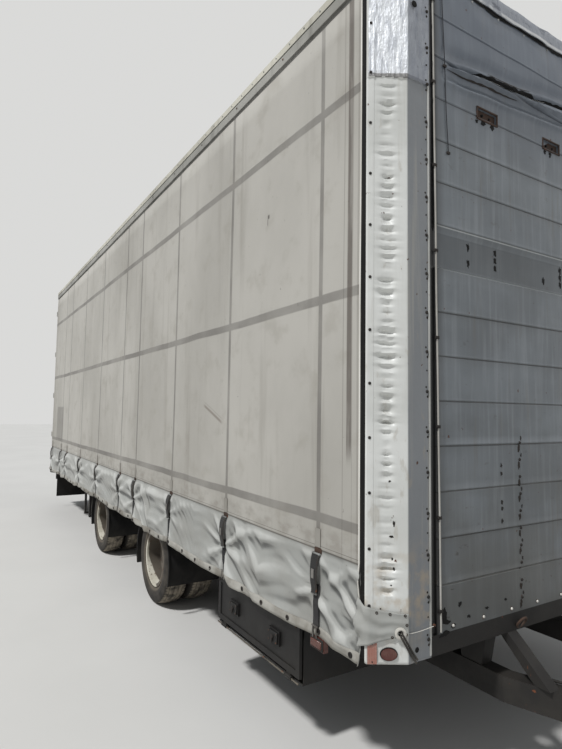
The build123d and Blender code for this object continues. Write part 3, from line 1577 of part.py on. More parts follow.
marker_inner_y = side_rail_face - side_rail_wall
with BuildPart() as side_markers:
    for side_name, side in sides:
        with BuildSketch(Plane.XY.offset(marker_top - marker_height)):
            with Locations((behind(marker_behind), side * (marker_inner_y + marker_depth / 2))):
                Rectangle(marker_length, marker_depth)
        extrude(amount=marker_height)
        with BuildSketch(Plane.XY.offset(marker_top - marker_height)):
            with Locations((behind(marker_behind), side * (marker_inner_y - side_rail_wall / 2))):
                Rectangle(marker_bracket_width, side_rail_wall)
        extrude(amount=floor_height - side_rail_height - marker_top + marker_height)
side_markers.part.label = "side_markers"
export_step(side_markers.part, "parts/side_markers.step")
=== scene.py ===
import math
import bpy
import bmesh
import numpy as np
from mathutils import Matrix, Vector, noise


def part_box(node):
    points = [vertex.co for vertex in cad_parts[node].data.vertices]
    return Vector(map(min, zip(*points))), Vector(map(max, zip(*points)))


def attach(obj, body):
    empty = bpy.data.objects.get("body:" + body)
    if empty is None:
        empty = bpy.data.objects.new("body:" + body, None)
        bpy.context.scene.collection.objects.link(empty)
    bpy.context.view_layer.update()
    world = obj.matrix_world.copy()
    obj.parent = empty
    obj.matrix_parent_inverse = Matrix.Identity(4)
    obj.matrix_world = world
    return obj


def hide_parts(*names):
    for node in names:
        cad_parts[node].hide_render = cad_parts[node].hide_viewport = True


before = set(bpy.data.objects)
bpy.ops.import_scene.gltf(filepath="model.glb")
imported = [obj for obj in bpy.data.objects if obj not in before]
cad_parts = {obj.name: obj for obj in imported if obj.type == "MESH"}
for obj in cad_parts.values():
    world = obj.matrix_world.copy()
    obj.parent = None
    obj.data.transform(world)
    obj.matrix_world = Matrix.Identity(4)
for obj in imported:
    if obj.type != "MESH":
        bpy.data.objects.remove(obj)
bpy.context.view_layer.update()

# Metres, in the frame's axes: +X forward to the towing eye, +Y left, +Z up.

# Places taken from the frame
curtain_low, curtain_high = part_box("curtain_right")
post_low, post_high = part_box("front_post_right")
wall_low, wall_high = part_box("front_wall")
roof_low, roof_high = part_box("roof_panel")
rail_low, rail_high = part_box("roof_rails")
cap_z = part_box("front_cap")[0].z
floor_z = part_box("floor_deck")[1].z
beam_low_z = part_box("main_beams")[0].z
front_x = wall_high.x
half_width = -post_low.y
sides = {"right": -1, "left": 1}
beam_y = 0.46


def behind(distance):
    """X of a point that lies this far behind the front wall."""
    return front_x - distance


def spread(low, high, pitch):
    """Evenly spaced values from low to high, about pitch apart."""
    count = max(1, round(abs(high - low) / pitch))
    return [low + (high - low) * k / count for k in range(count + 1)]


def stretches(start, *parts):
    """Values from start on through several stretches, each given by its end and its pitch."""
    values = [start]
    for end, pitch in parts:
        values += spread(values[-1], end, pitch)[1:]
    return values


def clamp(value):
    return min(1.0, max(0.0, value))


def hill(value, middle, reach):
    """A smooth bump of height 1 at middle."""
    return math.exp(-(((value - middle) / reach) ** 2))


def wave(x, y, z=0.0):
    return noise.noise(Vector((x, y, z)))


def circle(radius, count, first=0.0):
    """Points (x, y) round a circle; first is the first one's place in steps."""
    angles = [2 * math.pi * (k + first) / count for k in range(count)]
    return [(radius * math.cos(angle), radius * math.sin(angle)) for angle in angles]


def tone(red, green, blue):
    """A colour written in display values from 0 to 255, as linear light."""
    return tuple(((c / 255 + 0.055) / 1.055) ** 2.4 if c > 10 else c / 3295 for c in (red, green, blue))


# Node-based materials

even = (1.0, 1.0, 1.0)
rust_dark = (74, 42, 26)
rust_light = (134, 78, 46)
dust = (158, 148, 132)
grime = (58, 54, 49)


class Look:
    """One material: a Principled shader with helpers that build its colour, roughness and bump.

    Colours are written in display values from 0 to 255, and masks run from 0 to 1.
    """

    def __init__(self, name, roughness=0.6, metallic=0.0, specular=0.4):
        self.material = bpy.data.materials.new(name)
        self.material.use_nodes = True
        self.tree = self.material.node_tree
        self.shader = self.tree.nodes["Principled BSDF"]
        self.shader.inputs["Roughness"].default_value = roughness
        self.shader.inputs["Metallic"].default_value = metallic
        self.shader.inputs["Specular IOR Level"].default_value = specular
        self.place = self.tree.nodes.new("ShaderNodeTexCoord").outputs["Object"]
        self.x, self.y, self.z = self.node("SeparateXYZ", self.place).outputs
        self.shade = None

    def put(self, value, socket):
        if isinstance(value, bpy.types.NodeSocket):
            self.tree.links.new(value, socket)
        elif socket.type == "RGBA":
            socket.default_value = (*tone(*value), 1.0)
        else:
            socket.default_value = value

    def node(self, kind, *values, **named):
        """A new node with these values at its first inputs and at the named ones."""
        node = self.tree.nodes.new(f"ShaderNode{kind}")
        for socket, value in zip(node.inputs, values):
            self.put(value, socket)
        for name, value in named.items():
            self.put(value, node.inputs[name])
        return node

    def math(self, operation, first, second=0.0):
        node = self.node("Math", first, second)
        node.operation = operation
        return node.outputs[0]

    def chain(self, operation, values):
        result = values[0]
        for value in values[1:]:
            result = self.math(operation, result, value)
        return result

    def times(self, *values):
        return self.chain("MULTIPLY", values)

    def plus(self, *values):
        return self.chain("ADD", values)

    def minus(self, *values):
        return self.chain("SUBTRACT", values)

    def most(self, *values):
        return self.chain("MAXIMUM", values)

    def least(self, *values):
        return self.chain("MINIMUM", values)

    def size(self, value):
        return self.math("ABSOLUTE", value)

    def noise(self, scale, detail=4.0, stretch=even, shift=0.0, rough=0.55):
        place = self.node("Mapping", self.place, (shift, shift * 0.7, shift * 1.3), Scale=stretch).outputs[0]
        return self.node("TexNoise", Vector=place, Scale=scale, Detail=detail, Roughness=rough).outputs[0]

    def wobble(self, reach, *noise, **named):
        """Noise about 0, from -reach / 2 to reach / 2."""
        return self.times(self.minus(self.noise(*noise, **named), 0.5), reach)

    def vary(self, base, reach, *noise):
        """A value that noise raises from base by up to reach."""
        return self.plus(base, self.times(self.noise(*noise), reach))

    def stripes(self, scale, direction="X"):
        node = self.node("TexWave", self.place, scale)
        node.bands_direction = direction
        return node.outputs["Fac"]

    def step(self, value, low, high):
        """0 below low and 1 above high, smooth between; low may be the larger one."""
        ends = (high, low, 1.0, 0.0) if low > high else (low, high, 0.0, 1.0)
        node = self.node("MapRange", value, *ends)
        node.interpolation_type = "SMOOTHSTEP"
        return node.outputs["Result"]

    def near(self, value, middle, reach, soft):
        """1 where value lies within reach of middle, with soft edges."""
        return self.step(self.size(self.minus(value, middle)), reach + soft, reach - soft)

    def spot(self, x, z):
        """1 about one place on a side; x and z each give a middle, a reach and a softness."""
        return self.times(self.near(self.x, *x), self.near(self.z, *z))

    def patches(self, low, high, *noise, **named):
        """Soft patches of noise, 0 where it lies under low and 1 over high."""
        return self.step(self.noise(*noise, **named), low, high)

    def mix(self, mask, first, second):
        node = self.tree.nodes.new("ShaderNodeMix")
        node.data_type = "RGBA"
        for value, index in ((mask, 0), (first, 6), (second, 7)):
            self.put(value, node.inputs[index])
        return node.outputs[2]

    def cloud(self, first, second, *patches):
        """Starts the colour with the first tone and patches of the second, and returns their mask."""
        mask = self.patches(*patches)
        self.shade = self.mix(mask, first, second)
        return mask

    def tint(self, mask, share, color):
        """Lays a colour over the present one, by this share where the mask is 1."""
        self.shade = self.mix(mask if share == 1 else self.times(mask, share), self.shade, color)

    def done(self, roughness=None, height=None, strength=0.3, distance=0.002):
        """Links the colour, the roughness and the bump, and returns the material."""
        self.put(self.shade, self.shader.inputs["Base Color"])
        if roughness is not None:
            self.put(roughness, self.shader.inputs["Roughness"])
        if height is not None:
            bump = self.node("Bump", Strength=strength, Distance=distance, Height=height)
            self.put(bump.outputs[0], self.shader.inputs["Normal"])
        return self.material


def painted(name, base, shade, roughness=0.5, metallic=0.0, dust_top=0.9, rust=0.62, streak=0.35, dusty=0.7):
    """Weathered paint: cloudy colour, streaks that run down, dust low down and rust spots."""
    look = Look(name, roughness, metallic)
    look.cloud(base, shade, 0.35, 0.68, 1.7, 5)
    look.tint(look.patches(0.5, 0.75, 6.0, 5, (2.2, 2.2, 0.16), 3.0), streak, grime)
    low = look.times(look.step(look.z, dust_top, 0.15), look.patches(0.32, 0.7, 5.0, 5, shift=7.0))
    look.tint(low, dusty, dust)
    spots = look.patches(rust, rust + 0.06, 23.0, 6, shift=11.0, rough=0.65)
    look.tint(spots, 1, look.mix(look.noise(60.0, 3), rust_dark, rust_light))
    height = look.plus(look.noise(40.0, 5), look.times(spots, 0.6))
    return look.done(look.vary(roughness - 0.08, 0.3, 9.0), height, 0.25, 0.0015)


def rubber(name, base, dusty, dust_amount=0.5):
    look = Look(name, 0.85, specular=0.25)
    look.shade = base
    look.tint(look.patches(0.35, 0.7, 5.0, 6), dust_amount, dusty)
    look.tint(look.patches(0.55, 0.75, 55.0, shift=5.0), 0.12, dusty)
    return look.done(None, look.noise(140.0), 0.3, 0.0008)


def plain_metal(name, base, dark, roughness=0.4, metallic=0.9):
    look = Look(name, roughness, metallic)
    look.cloud(base, dark, 0.35, 0.7, 14.0, 5)
    look.tint(look.patches(0.66, 0.74, 46.0, 5, shift=4.0), 1, rust_dark)
    return look.done(look.vary(roughness - 0.1, 0.35, 30.0), look.noise(90.0), 0.2, 0.0008)


def lamp_plastic(name, base, dusty):
    look = Look(name, 0.25, specular=0.5)
    look.cloud(base, dusty, 0.4, 0.75, 18.0, 5)
    return look.done(None, look.stripes(60.0), 0.35, 0.0015)


# Black paint, made darker still as painted shade under the body
chassis_paint = painted("chassis_paint", (21, 20, 20), (32, 30, 28), 0.6, rust=0.67, streak=0.08, dusty=0.06)
# Black paint, made darker still as painted shade under the body
box_black = painted(
    "box_black", (15, 14, 14), (23, 22, 21), 0.55, dust_top=0.6, rust=0.72, streak=0.04, dusty=0.04
)
pale_edge = painted("pale_edge", (78, 75, 70), (52, 50, 46), 0.6, dust_top=0.5, rust=0.6, streak=0.2)
white_paint = painted("white_paint", (233, 231, 223), (214, 212, 203), 0.42, 0, 0.8, 0.72, 0.16)
aluminium = painted("aluminium", (150, 149, 145), (122, 121, 117), 0.5, 0.25, rust=0.76)
rusty_metal = painted("rusty_metal", (74, 56, 46), (50, 41, 36), 0.8, rust=0.6, streak=0.2, dusty=0.3)
dark_bolt = painted("dark_bolt", (46, 41, 38), (32, 30, 28), 0.75, 0, 0.2, 0.68, 0.1)
hub_brown = painted("hub_brown", (66, 54, 46), (50, 43, 38), 0.75, rust=0.66, streak=0.1, dusty=0.1)
deck_wood = painted("deck_wood", (96, 66, 42), (74, 52, 36), 0.6, rust=0.9)
rod_white = painted("rod_white", (226, 224, 217), (196, 193, 185), 0.4, 0, 0.3, 0.8, 0.05)
buckle_black = painted("buckle_black", (24, 24, 25), (40, 39, 38), 0.4, 0, 0.2, 0.7, 0.1)
buckle_edge = painted("buckle_edge", (44, 43, 42), (78, 72, 66), 0.5, 0, 0.2, 0.62, 0.1)
rust_patch = painted("rust_patch", (50, 42, 37), (34, 31, 28), 0.85, rust=0.66, streak=0.2, dusty=0.2)
trim_grey = painted("trim_grey", (204, 204, 200), (170, 170, 165), 0.45, 0, 0.3, 0.66, 0.3)
shadow_black = painted("shadow_black", (12, 12, 12), (18, 17, 16), 0.9, rust=0.95, streak=0.0, dusty=0.0)
rail_grey = painted("rail_grey", (168, 167, 161), (138, 137, 131), 0.45, 0.2, 0.2, 0.76, 0.3)
rail_cream = painted("rail_cream", (206, 203, 190), (178, 175, 162), 0.5, 0, 0.2, 0.74, 0.3)
plate_blank = painted("plate_blank", (214, 212, 204), (196, 193, 184), 0.5, 0, 0.2, 0.8, 0.2)
coupling_red = painted("coupling_red", (150, 44, 34), (118, 40, 32), 0.5, 0, 0.4, 0.66, 0.1)
coupling_yellow = painted("coupling_yellow", (190, 154, 52), (156, 126, 50), 0.5, 0, 0.4, 0.66, 0.1)
bare_metal = plain_metal("bare_metal", (176, 178, 178), (120, 120, 118), 0.45)
grey_steel = plain_metal("grey_steel", (142, 140, 136), (96, 92, 88), 0.5, 0.7)
brass = plain_metal("brass", (168, 138, 78), (112, 92, 58), 0.4, 0.85)
tyre_rubber = rubber("tyre_rubber", (38, 37, 36), (96, 91, 83), 0.55)
black_rubber = rubber("black_rubber", (28, 28, 28), (64, 61, 57), 0.4)
pipe_black = rubber("pipe_black", (30, 30, 31), (78, 74, 68), 0.4)
webbing = rubber("webbing", (40, 40, 42), (92, 90, 88))
webbing_grey = rubber("webbing_grey", (150, 147, 140), (128, 124, 117))
hem_cloth = rubber("hem_cloth", (168, 166, 159), (112, 107, 98), 0.8)
flap_cloth = rubber("flap_cloth", (166, 167, 163), (142, 140, 134))
channel_shadow_black = rubber("channel_shadow_black", (14, 14, 14), (26, 25, 24), 0.4)
rope_grey = rubber("rope_grey", (66, 63, 60), (112, 107, 99), 0.6)
conduit_grey = rubber("conduit_grey", (186, 184, 178), (144, 138, 130))
cable_and_shadow_black = rubber("cable_and_shadow_black", (44, 46, 50), (70, 70, 72), 0.3)
seal_rubber = rubber("seal_rubber", (26, 26, 27), (70, 67, 62), 0.35)
red_lamp = lamp_plastic("red_lamp", (84, 38, 33), (104, 72, 64))
amber_lamp = lamp_plastic("amber_lamp", (168, 92, 46), (160, 112, 84))
marker_lamp = lamp_plastic("marker_lamp", (84, 42, 34), (98, 66, 57))
pale_reflector = lamp_plastic("pale_reflector", (158, 108, 96), (164, 132, 120))


# Mesh building

along = {"x": Vector((1, 0, 0)), "y": Vector((0, 1, 0)), "z": Vector((0, 0, 1))}
sharp_angle = 38
cube_faces = []


def grid(rows, width, ring=True, closed=False):
    """Quads between rows of width points; ring joins each row's ends, closed the last row and the first."""
    faces = []
    for j in range(rows if closed else rows - 1):
        a, b = j * width, (j + 1) % rows * width
        ends = [(k, (k + 1) % width) for k in range(width if ring else width - 1)]
        faces += [(a + k, a + n, b + n, b + k) for k, n in ends]
    return faces


def axis_place(center, direction):
    """A frame whose Z points along direction, at center."""
    return Matrix.Translation(Vector(center)) @ Vector(direction).to_track_quat("Z", "Y").to_matrix().to_4x4()


def upright(center, direction):
    """A frame whose Z points along direction and whose Y is turned upright, at center."""
    out = Vector(direction).normalized()
    up = (along["z"] - out * out.z).normalized()
    return Matrix.Translation(Vector(center)) @ Matrix((up.cross(out), up, out)).transposed().to_4x4()


def directions(points):
    """The way a line of points runs at each of them."""
    longer = [points[0], *points, points[-1]]
    return [(ahead - back).normalized() for back, ahead in zip(longer, longer[2:])]


def chamfered_cube(cuts):
    """Corners and faces of a unit cube whose edges are cut by these shares of its sides."""
    verts = []
    for corner in ((x, y, z) for x in (0, 1) for y in (0, 1) for z in (0, 1)):
        for axis in range(3):
            vert = [1 - cut if end else cut for end, cut in zip(corner, cuts)]
            vert[axis] = corner[axis]
            verts.append(vert)
    if not cube_faces:
        work = bmesh.new()
        for vert in verts:
            work.verts.new(vert)
        bmesh.ops.convex_hull(work, input=work.verts)
        bmesh.ops.dissolve_limit(work, angle_limit=0.02, verts=work.verts, edges=work.edges)
        work.verts.index_update()
        cube_faces.extend(tuple(v.index for v in face.verts) for face in work.faces)
        work.free()
    return verts, cube_faces


def mesh_of(name, verts, faces, looks, marks=None):
    """A mesh with its normals out and sharp edges, each face marked with its look, or else a smooth sheet."""
    mesh = bpy.data.meshes.new(name)
    mesh.from_pydata([tuple(v) for v in verts], [], faces)
    for look in looks:
        mesh.materials.append(look)
    if marks is None:
        mesh.polygons.foreach_set("use_smooth", [True] * len(faces))
        mesh.update()
        return mesh
    mesh.polygons.foreach_set("material_index", marks)
    mesh.update()
    work = bmesh.new()
    work.from_mesh(mesh)
    bmesh.ops.recalc_face_normals(work, faces=work.faces)
    work.to_mesh(mesh)
    work.free()
    mesh.set_sharp_from_angle(angle=math.radians(sharp_angle))
    return mesh


def into_scene(name, mesh, body="root", replaced=(), thickness=0.0, offset=0.0):
    """An object of this mesh that rides on a body and stands in for the CAD pieces it replaces."""
    piece = bpy.data.objects.new(name, mesh)
    bpy.context.scene.collection.objects.link(piece)
    if thickness:
        solid = piece.modifiers.new("thickness", "SOLIDIFY")
        solid.thickness = thickness
        solid.offset = offset
    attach(piece, body)
    if replaced:
        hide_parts(*replaced)
    return piece


def surface(name, columns, rows, point, look, thickness, replaced=()):
    """A sheet over a grid: point(u, v) gives a place for each column and row value."""
    verts = [point(u, v) for v in rows for u in columns]
    mesh = mesh_of(name, verts, grid(len(rows), len(columns), ring=False), [look])
    return into_scene(name, mesh, replaced=replaced, thickness=thickness)


class Shape:
    """Collects small closed meshes, each with a material, into one object."""

    def __init__(self):
        self.verts, self.faces, self.marks, self.looks = [], [], [], []

    def add(self, verts, faces, look):
        start = len(self.verts)
        if look not in self.looks:
            self.looks.append(look)
        self.marks += [self.looks.index(look)] * len(faces)
        self.verts += verts
        self.faces += [[start + k for k in face] for face in faces]

    def box(self, low, high, look, edge=0.003, about=(0, 0, 0)):
        """A box with chamfered edges between two corners, which are given from a place about it."""
        low, high = Vector(low) + Vector(about), Vector(high) + Vector(about)
        size = high - low
        edge = min(edge, 0.3 * min(size))
        verts, faces = chamfered_cube([edge / length for length in size])
        self.add([low + Vector(v) * size for v in verts], faces, look)

    def block(self, middle, half, look, edge=0.003):
        """A box with chamfered edges, given by its middle and half its size."""
        self.box(-Vector(half), half, look, edge, middle)

    def lathe(self, profile, look, place, segments=32):
        """Turns (radius, height) points about the local Z axis of place; a ring closes on itself."""
        rings, verts = [], []
        for radius, height in profile:
            if radius < 1e-6:
                rings.append([len(verts)] * segments)
                verts.append(place @ Vector((0, 0, height)))
            else:
                rings.append(range(len(verts), len(verts) + segments))
                verts += [place @ Vector((x, y, height)) for x, y in circle(radius, segments)]
        faces = []
        for first, second in zip(rings, rings[1:] + rings[:1]):
            for k in range(segments):
                n = (k + 1) % segments
                corners = list(dict.fromkeys((first[k], first[n], second[n], second[k])))
                if len(corners) > 2:
                    faces.append(corners)
        self.add(verts, faces, look)

    def rod(self, start, end, radius, look, segments=12):
        """A round bar between two points."""
        span = Vector(end) - Vector(start)
        length, edge = span.length, radius * 0.15
        profile = [(0, 0), (radius - edge, 0), (radius, edge)]
        profile += [(r, length - h) for r, h in reversed(profile)]
        self.lathe(profile, look, axis_place(start, span), segments)

    def pin(self, middle, axis, start, end, radius, look, segments=8):
        """A round bar along x, y or z, from start to end as measured from its middle."""
        middle = Vector(middle)
        self.rod(middle + start * along[axis], middle + end * along[axis], radius, look, segments)

    def stud(self, place, radius, height, look, crown=0.55, brim=0.35, foot=0.002):
        """A low domed head on place; crown and brim are shares of its radius and its height."""
        dome = [(0, height), (radius * crown, height * 0.95), (radius, height * brim)]
        dome += [(radius, -foot), (0, -foot)]
        self.lathe(dome, look, place, 10)

    def sweep(self, verts, width, look):
        """A body from rings of width points each, with both ends closed."""
        ends = [range(width - 1, -1, -1), range(len(verts) - width, len(verts))]
        self.add(verts, grid(len(verts) // width, width) + ends, look)

    def tube(self, points, radius, look, segments=8):
        """A round tube along smooth points."""
        verts, side = [], None
        for point, way in zip(points, directions(points)):
            side = way.orthogonal().normalized() if side is None else side
            side = (side - way * side.dot(way)).normalized()
            up = way.cross(side)
            verts += [point + side * x + up * y for x, y in circle(radius, segments)]
        self.sweep(verts, segments, look)

    def ribbon(self, points, across, thickness, look):
        """A flat strap along points; across is half its width as a vector."""
        verts, across = [], Vector(across)
        for point, way in zip(points, directions(points)):
            off = way.cross(across).normalized() * thickness / 2
            verts += [point - across - off, point + across - off, point + across + off, point - across + off]
        self.sweep(verts, 4, look)

    def prism(self, outline, depth, look, place):
        """An outline in the local XY plane of place, made depth thick along its Z."""
        count = len(outline)
        verts = [place @ Vector((x, y, z)) for z in (0, depth) for x, y in outline]
        self.add(verts, [range(count - 1, -1, -1), range(count, 2 * count)] + grid(2, count), look)

    def blotch(self, place, width, height, thickness, seed, look):
        """A thin patch with a ragged outline in the local XY plane of place."""
        outline = []
        for x, y in circle(1.0, 14):
            reach = 0.5 * (1.0 + 0.9 * wave(1.7 * x + 5.1 * seed, 1.7 * y, 0.5 + seed))
            outline.append((width * reach * x, height * reach * y))
        self.prism(outline, thickness, look, place)

    def build(self, name, body="root", replaced=()):
        return into_scene(name, mesh_of(name, self.verts, self.faces, self.looks, self.marks), body, replaced)


# Curtains

strap_places = (0.457, 1.481, 2.499, 3.513, 4.059, 5.12, 6.165, 7.176, 7.70, 8.582)
band_heights = (3.23, 2.26, 1.19)
curtain_seam = 1.035
curtain_front = curtain_high.x
curtain_rear = curtain_low.x
curtain_base = curtain_low.z
curtain_top = curtain_high.z
curtain_face = -curtain_low.y - 0.004
strap_pull = 0.845
fold_depth = 0.016
fold_reach = 0.13
fold_count = 7.0
fold_slope = 0.36
fold_pitch = 0.19
cloth_inset = -0.003
skirt_stand = 0.010
cloth_thickness = 0.0022
cloth_seeds = {-1: 3.0, 1: 41.0}
fold_ease = 0.003
hem_width = 0.045
eyelet_pitch = 0.25
flap_middle = 0.79
flap_top = 0.885
gap_shadow_width = 0.009
edge_tape = 0.010


def crest(angle):
    """A wave from -1 to 1 with sharp tops and round hollows."""
    return 1.0 - 2.0 * abs(math.sin(angle / 2))


def crease(angle):
    """A wave from -1 to 1 with round tops, one steep side and narrow hollows."""
    turn = angle + 0.5 * math.sin(angle)
    return 1.2 * abs(math.cos(turn / 2)) ** 1.3 - 0.6 + 0.4 * math.sin(turn)


def pinch(back, z, middle, height, seed):
    """Creases that run out sideways from one point where a strap holds the cloth."""
    across, up = (back - middle) / 1.7, z - height - 0.12 * abs(back - middle)
    distance = math.hypot(across, up)
    if distance > 6 * fold_reach:
        return 0.0
    share = distance / fold_reach
    turn = math.atan2(up, abs(across) + 0.01) * fold_count + 5.0 * seed
    turn += 1.3 * wave(across * 5.0, up * 5.0, seed)
    if across > 0:
        turn += 2.1
    return share * math.exp(1.0 - share) * crease(turn)


def calm(back):
    """1 where the open rear door's lock rods lie close along the curtain, 0 further forward."""
    return clamp((back - 7.1) / 0.25)


def skirt_folds(back, z, seed):
    """How far the skirt under the seam stands out."""
    depth = clamp((curtain_seam - 0.08 * calm(back) - z) / 0.06)
    folds = 0.0
    tight = 0.0
    for index, place in enumerate(strap_places):
        if abs(back - place) > 1.4:
            continue
        pull_height = strap_pull + 0.05 * wave(index * 1.7, seed)
        pull = pinch(back, z, place, pull_height, seed + index * 1.37)
        folds += (0.8 + 0.5 * wave(index * 2.3, seed + 3.0)) * pull
        tight = max(tight, hill(back, place, 0.03))
    folds += 0.8 * pinch(back, z, 0.135, flap_middle, seed + 4.4)
    swell = 0.016 * (0.5 + 1.4 * wave(back * 1.3 + seed, z * 1.6, 2.0))
    bend = 0.5 * (back % 1.0 - 0.5) ** 2
    run = 2 * math.pi * (z - fold_slope * back + bend) / fold_pitch
    run += 2.6 * wave(back * 1.1 + seed, z * 2.2, 5.0)
    strength = 0.15 + 0.9 * hill(back, 0.75, 0.8) + 1.5 * max(0.0, wave(back * 0.8 + seed, z * 0.7, 11.0))
    cross = 0.016 * strength * crease(run)
    fine = 0.0016 * crest(3.1 * run + 4.0 * wave(back * 2.6, z * 3.0, seed))
    out = depth * (skirt_stand + fold_depth * folds + swell + (cross + fine) * (1.0 - tight))
    out *= 1.0 - 0.7 * tight
    return cloth_inset + fold_ease * math.log1p(math.exp((out - cloth_inset) / fold_ease))


def curtain_bulge(x, z, side):
    """How far the cloth stands out from its flat plane."""
    seed = cloth_seeds[side]
    back = front_x - x
    slack = 0.006 * wave(x * 0.55 + seed, z * 0.5, 1.7) + 0.002 * wave(x * 2.1 + seed, z * 1.3, 5.0)
    ripple = 0.0016 * wave(x * 4.0 + seed, z * 0.35, 9.0)
    pull = sum(hill(back, place, 0.035) for place in strap_places)
    out = (slack + ripple - 0.0018 * pull) * (1.0 - 0.8 * calm(back))
    if z < curtain_seam:
        out += skirt_folds(back, z, seed)
        out -= 0.006 * hill(z, curtain_seam - 0.012, 0.012)
    return out


def hem_height(x, side):
    """How far the lower edge rises and dips along the skirt."""
    seed = cloth_seeds[side]
    back = front_x - x
    rise = sum(hill(back, place, 0.13) for place in strap_places)
    return 0.016 * rise - 0.012 + 0.012 * wave(x * 1.4 + seed, 0.3, 4.0)


def cloth_point(x, z, side, off=0.0):
    """A place on the curtain's outer face, this far off it."""
    share = max(0.0, (curtain_seam - z) / (curtain_seam - curtain_base))
    height = z + hem_height(x, side) * share
    return Vector((x, side * (curtain_face + off + curtain_bulge(x, z, side)), height))


# A scuff on the cloth: how fast it falls towards the front, its height and its place
scuff_slope = 0.376
scuff_height = 1.682
scuff_behind = 1.73

# Dark lines down the cloth beside the front post, painted shade of thin creases: distance behind the front
# wall, half width, strength
edge_lines = ((0.271, 0.0022, 0.55), (0.205, 0.0014, 0.45), (0.165, 0.0075, 0.32), (0.150, 0.0030, 0.55))


def cloth_look():
    look = Look("curtain_cloth", 0.62, specular=0.4)
    base = (184, 181, 174)
    shade = (168, 165, 158)
    dark = (102, 99, 95)
    skirt = (156, 158, 155)
    cloud = look.patches(0.36, 0.66, 0.9, 6, (1, 1, 0.6))
    look.shade = look.mix(cloud, base, shade)
    mottled = look.patches(0.52, 0.72, 5.5, 6, shift=2.0)
    look.tint(mottled, 0.35, (150, 145, 135))
    run = look.patches(0.52, 0.78, 7.0, 5, (1.5, 1.0, 0.1), shift=6.0)
    look.tint(run, 0.4, (134, 129, 120))
    wear = look.plus(0.62, look.times(look.patches(0.3, 0.7, 2.3, 5, shift=9.0), 0.38))
    bands = []
    for height in band_heights:
        wobble = look.wobble(0.03, 1.2, 3, shift=height)
        bands.append(look.near(look.plus(look.z, wobble), height, 0.024, 0.004))
    bands += [look.near(look.x, behind(place), 0.016, 0.003) for place in strap_places]
    bands = look.most(*bands)
    chafed = look.patches(0.30, 0.52, 6.0, 5, (3.0, 1.0, 0.35), shift=14.0)
    worn = look.times(look.near(look.x, behind(0.226), 0.018, 0.005), look.step(look.z, 1.44, 1.58))
    worn = look.times(worn, look.plus(0.6, look.times(chafed, 0.4)))
    # The edge lines add painted crease shade to the worn band
    for place, half, strength in edge_lines:
        line = look.near(look.x, behind(place), half, 0.0015)
        worn = look.most(worn, look.times(line, strength))
    above = look.step(look.z, curtain_seam - 0.01, curtain_seam + 0.03)
    look.tint(look.times(bands, above, look.times(wear, 0.76)), 1, dark)
    look.tint(worn, 0.85, (92, 85, 79))
    below = look.step(look.z, curtain_seam + 0.004, curtain_seam - 0.006)
    look.tint(below, 0.8, skirt)
    # Painted shade in the skirt's hollows and on its downward-facing sides, and painted highlight on its
    # ridges
    fold_shading = look.node("Attribute")
    fold_shading.attribute_name = "fold"
    for low, high, share, color in ((0.44, 0.08, 0.8, (66, 68, 68)), (0.60, 1.0, 0.5, (206, 207, 203))):
        look.tint(look.times(below, look.step(fold_shading.outputs["Fac"], low, high)), share, color)
    seam = look.near(look.z, curtain_seam, 0.004, 0.003)
    look.tint(seam, 0.75, grime)
    stitches = look.near(look.z, curtain_seam + 0.018, 0.0015, 0.001)
    look.tint(stitches, 0.6, grime)
    patch = look.times(look.near(look.x, behind(7.93), 0.30, 0.01), look.near(look.z, 1.47, 0.27, 0.01))
    look.tint(patch, 0.45, dark)
    scuff_line = look.plus(look.z, look.times(look.x, scuff_slope))
    scuff_level = scuff_height + scuff_slope * behind(scuff_behind)
    scuff = look.most(
        look.near(scuff_line, scuff_level, 0.010, 0.006),
        look.times(look.near(scuff_line, scuff_level + 0.026, 0.003, 0.004), 0.6),
    )
    scuff = look.times(scuff, look.near(look.x, behind(scuff_behind), 0.15, 0.03))
    look.tint(scuff, 0.62, (112, 102, 92))
    nick = look.most(
        look.times(look.near(look.x, behind(0.993), 0.010, 0.004), look.near(look.z, 2.86, 0.012, 0.006)),
        look.times(look.near(look.x, behind(1.002), 0.003, 0.003), look.near(look.z, 2.83, 0.020, 0.008)),
    )
    look.tint(nick, 0.8, (66, 62, 58))
    dirt = look.times(look.step(look.z, 1.5, 0.7), look.patches(0.38, 0.7, 3.5, 6, shift=21.0))
    look.tint(dirt, 0.28, (120, 114, 104))
    darkened = look.times(
        look.near(look.z, 1.09, 0.05, 0.08), look.patches(0.42, 0.66, 9.0, 6, (1, 1, 1.8), shift=25.0)
    )
    look.tint(darkened, 0.4, (112, 104, 94))
    spots = look.patches(0.72, 0.76, 38.0, 4, shift=31.0)
    look.tint(spots, 0.5, grime)
    rough = look.vary(0.5, 0.25, 8.0, 4)
    rough = look.minus(rough, look.times(below, 0.2))
    weave = look.times(look.plus(look.stripes(260.0), look.stripes(260.0, "Z")), 0.12)
    pressed = look.times(bands, above, 0.9)
    height = look.plus(weave, look.plus(pressed, look.times(look.noise(30.0, 4), 0.25)))
    return look.done(rough, height, 0.45, 0.0018)


curtain_cloth = cloth_look()
curtain_columns = spread(curtain_front, curtain_rear, 0.0122)


def mark_fold_shading(piece, width, side):
    """Stores how far each place stands out from its surroundings, and how far it faces down, as the mask for
    the skirt's painted shade in hollows and painted highlight on ridges.
    """
    places = np.empty(len(piece.data.vertices) * 3)
    piece.data.vertices.foreach_get("co", places)
    grid = places.reshape(-1, width, 3)
    out = side * grid[:, :, 1]
    around = np.zeros_like(out)
    for shift in (-3, 3):
        around += np.roll(out, shift, axis=0) / 4 + np.roll(out, shift, axis=1) / 4
    facing_down = np.gradient(out, axis=0) / np.maximum(np.gradient(grid[:, :, 2], axis=0), 1e-4)
    fold = 0.5 + (out - around) / 0.018 - 0.55 * facing_down
    fold[grid[:, :, 2] > curtain_seam] = 0.5
    layer = piece.data.attributes.new("fold", "FLOAT", "POINT")
    layer.data.foreach_set("value", np.clip(fold, 0.0, 1.0).ravel())


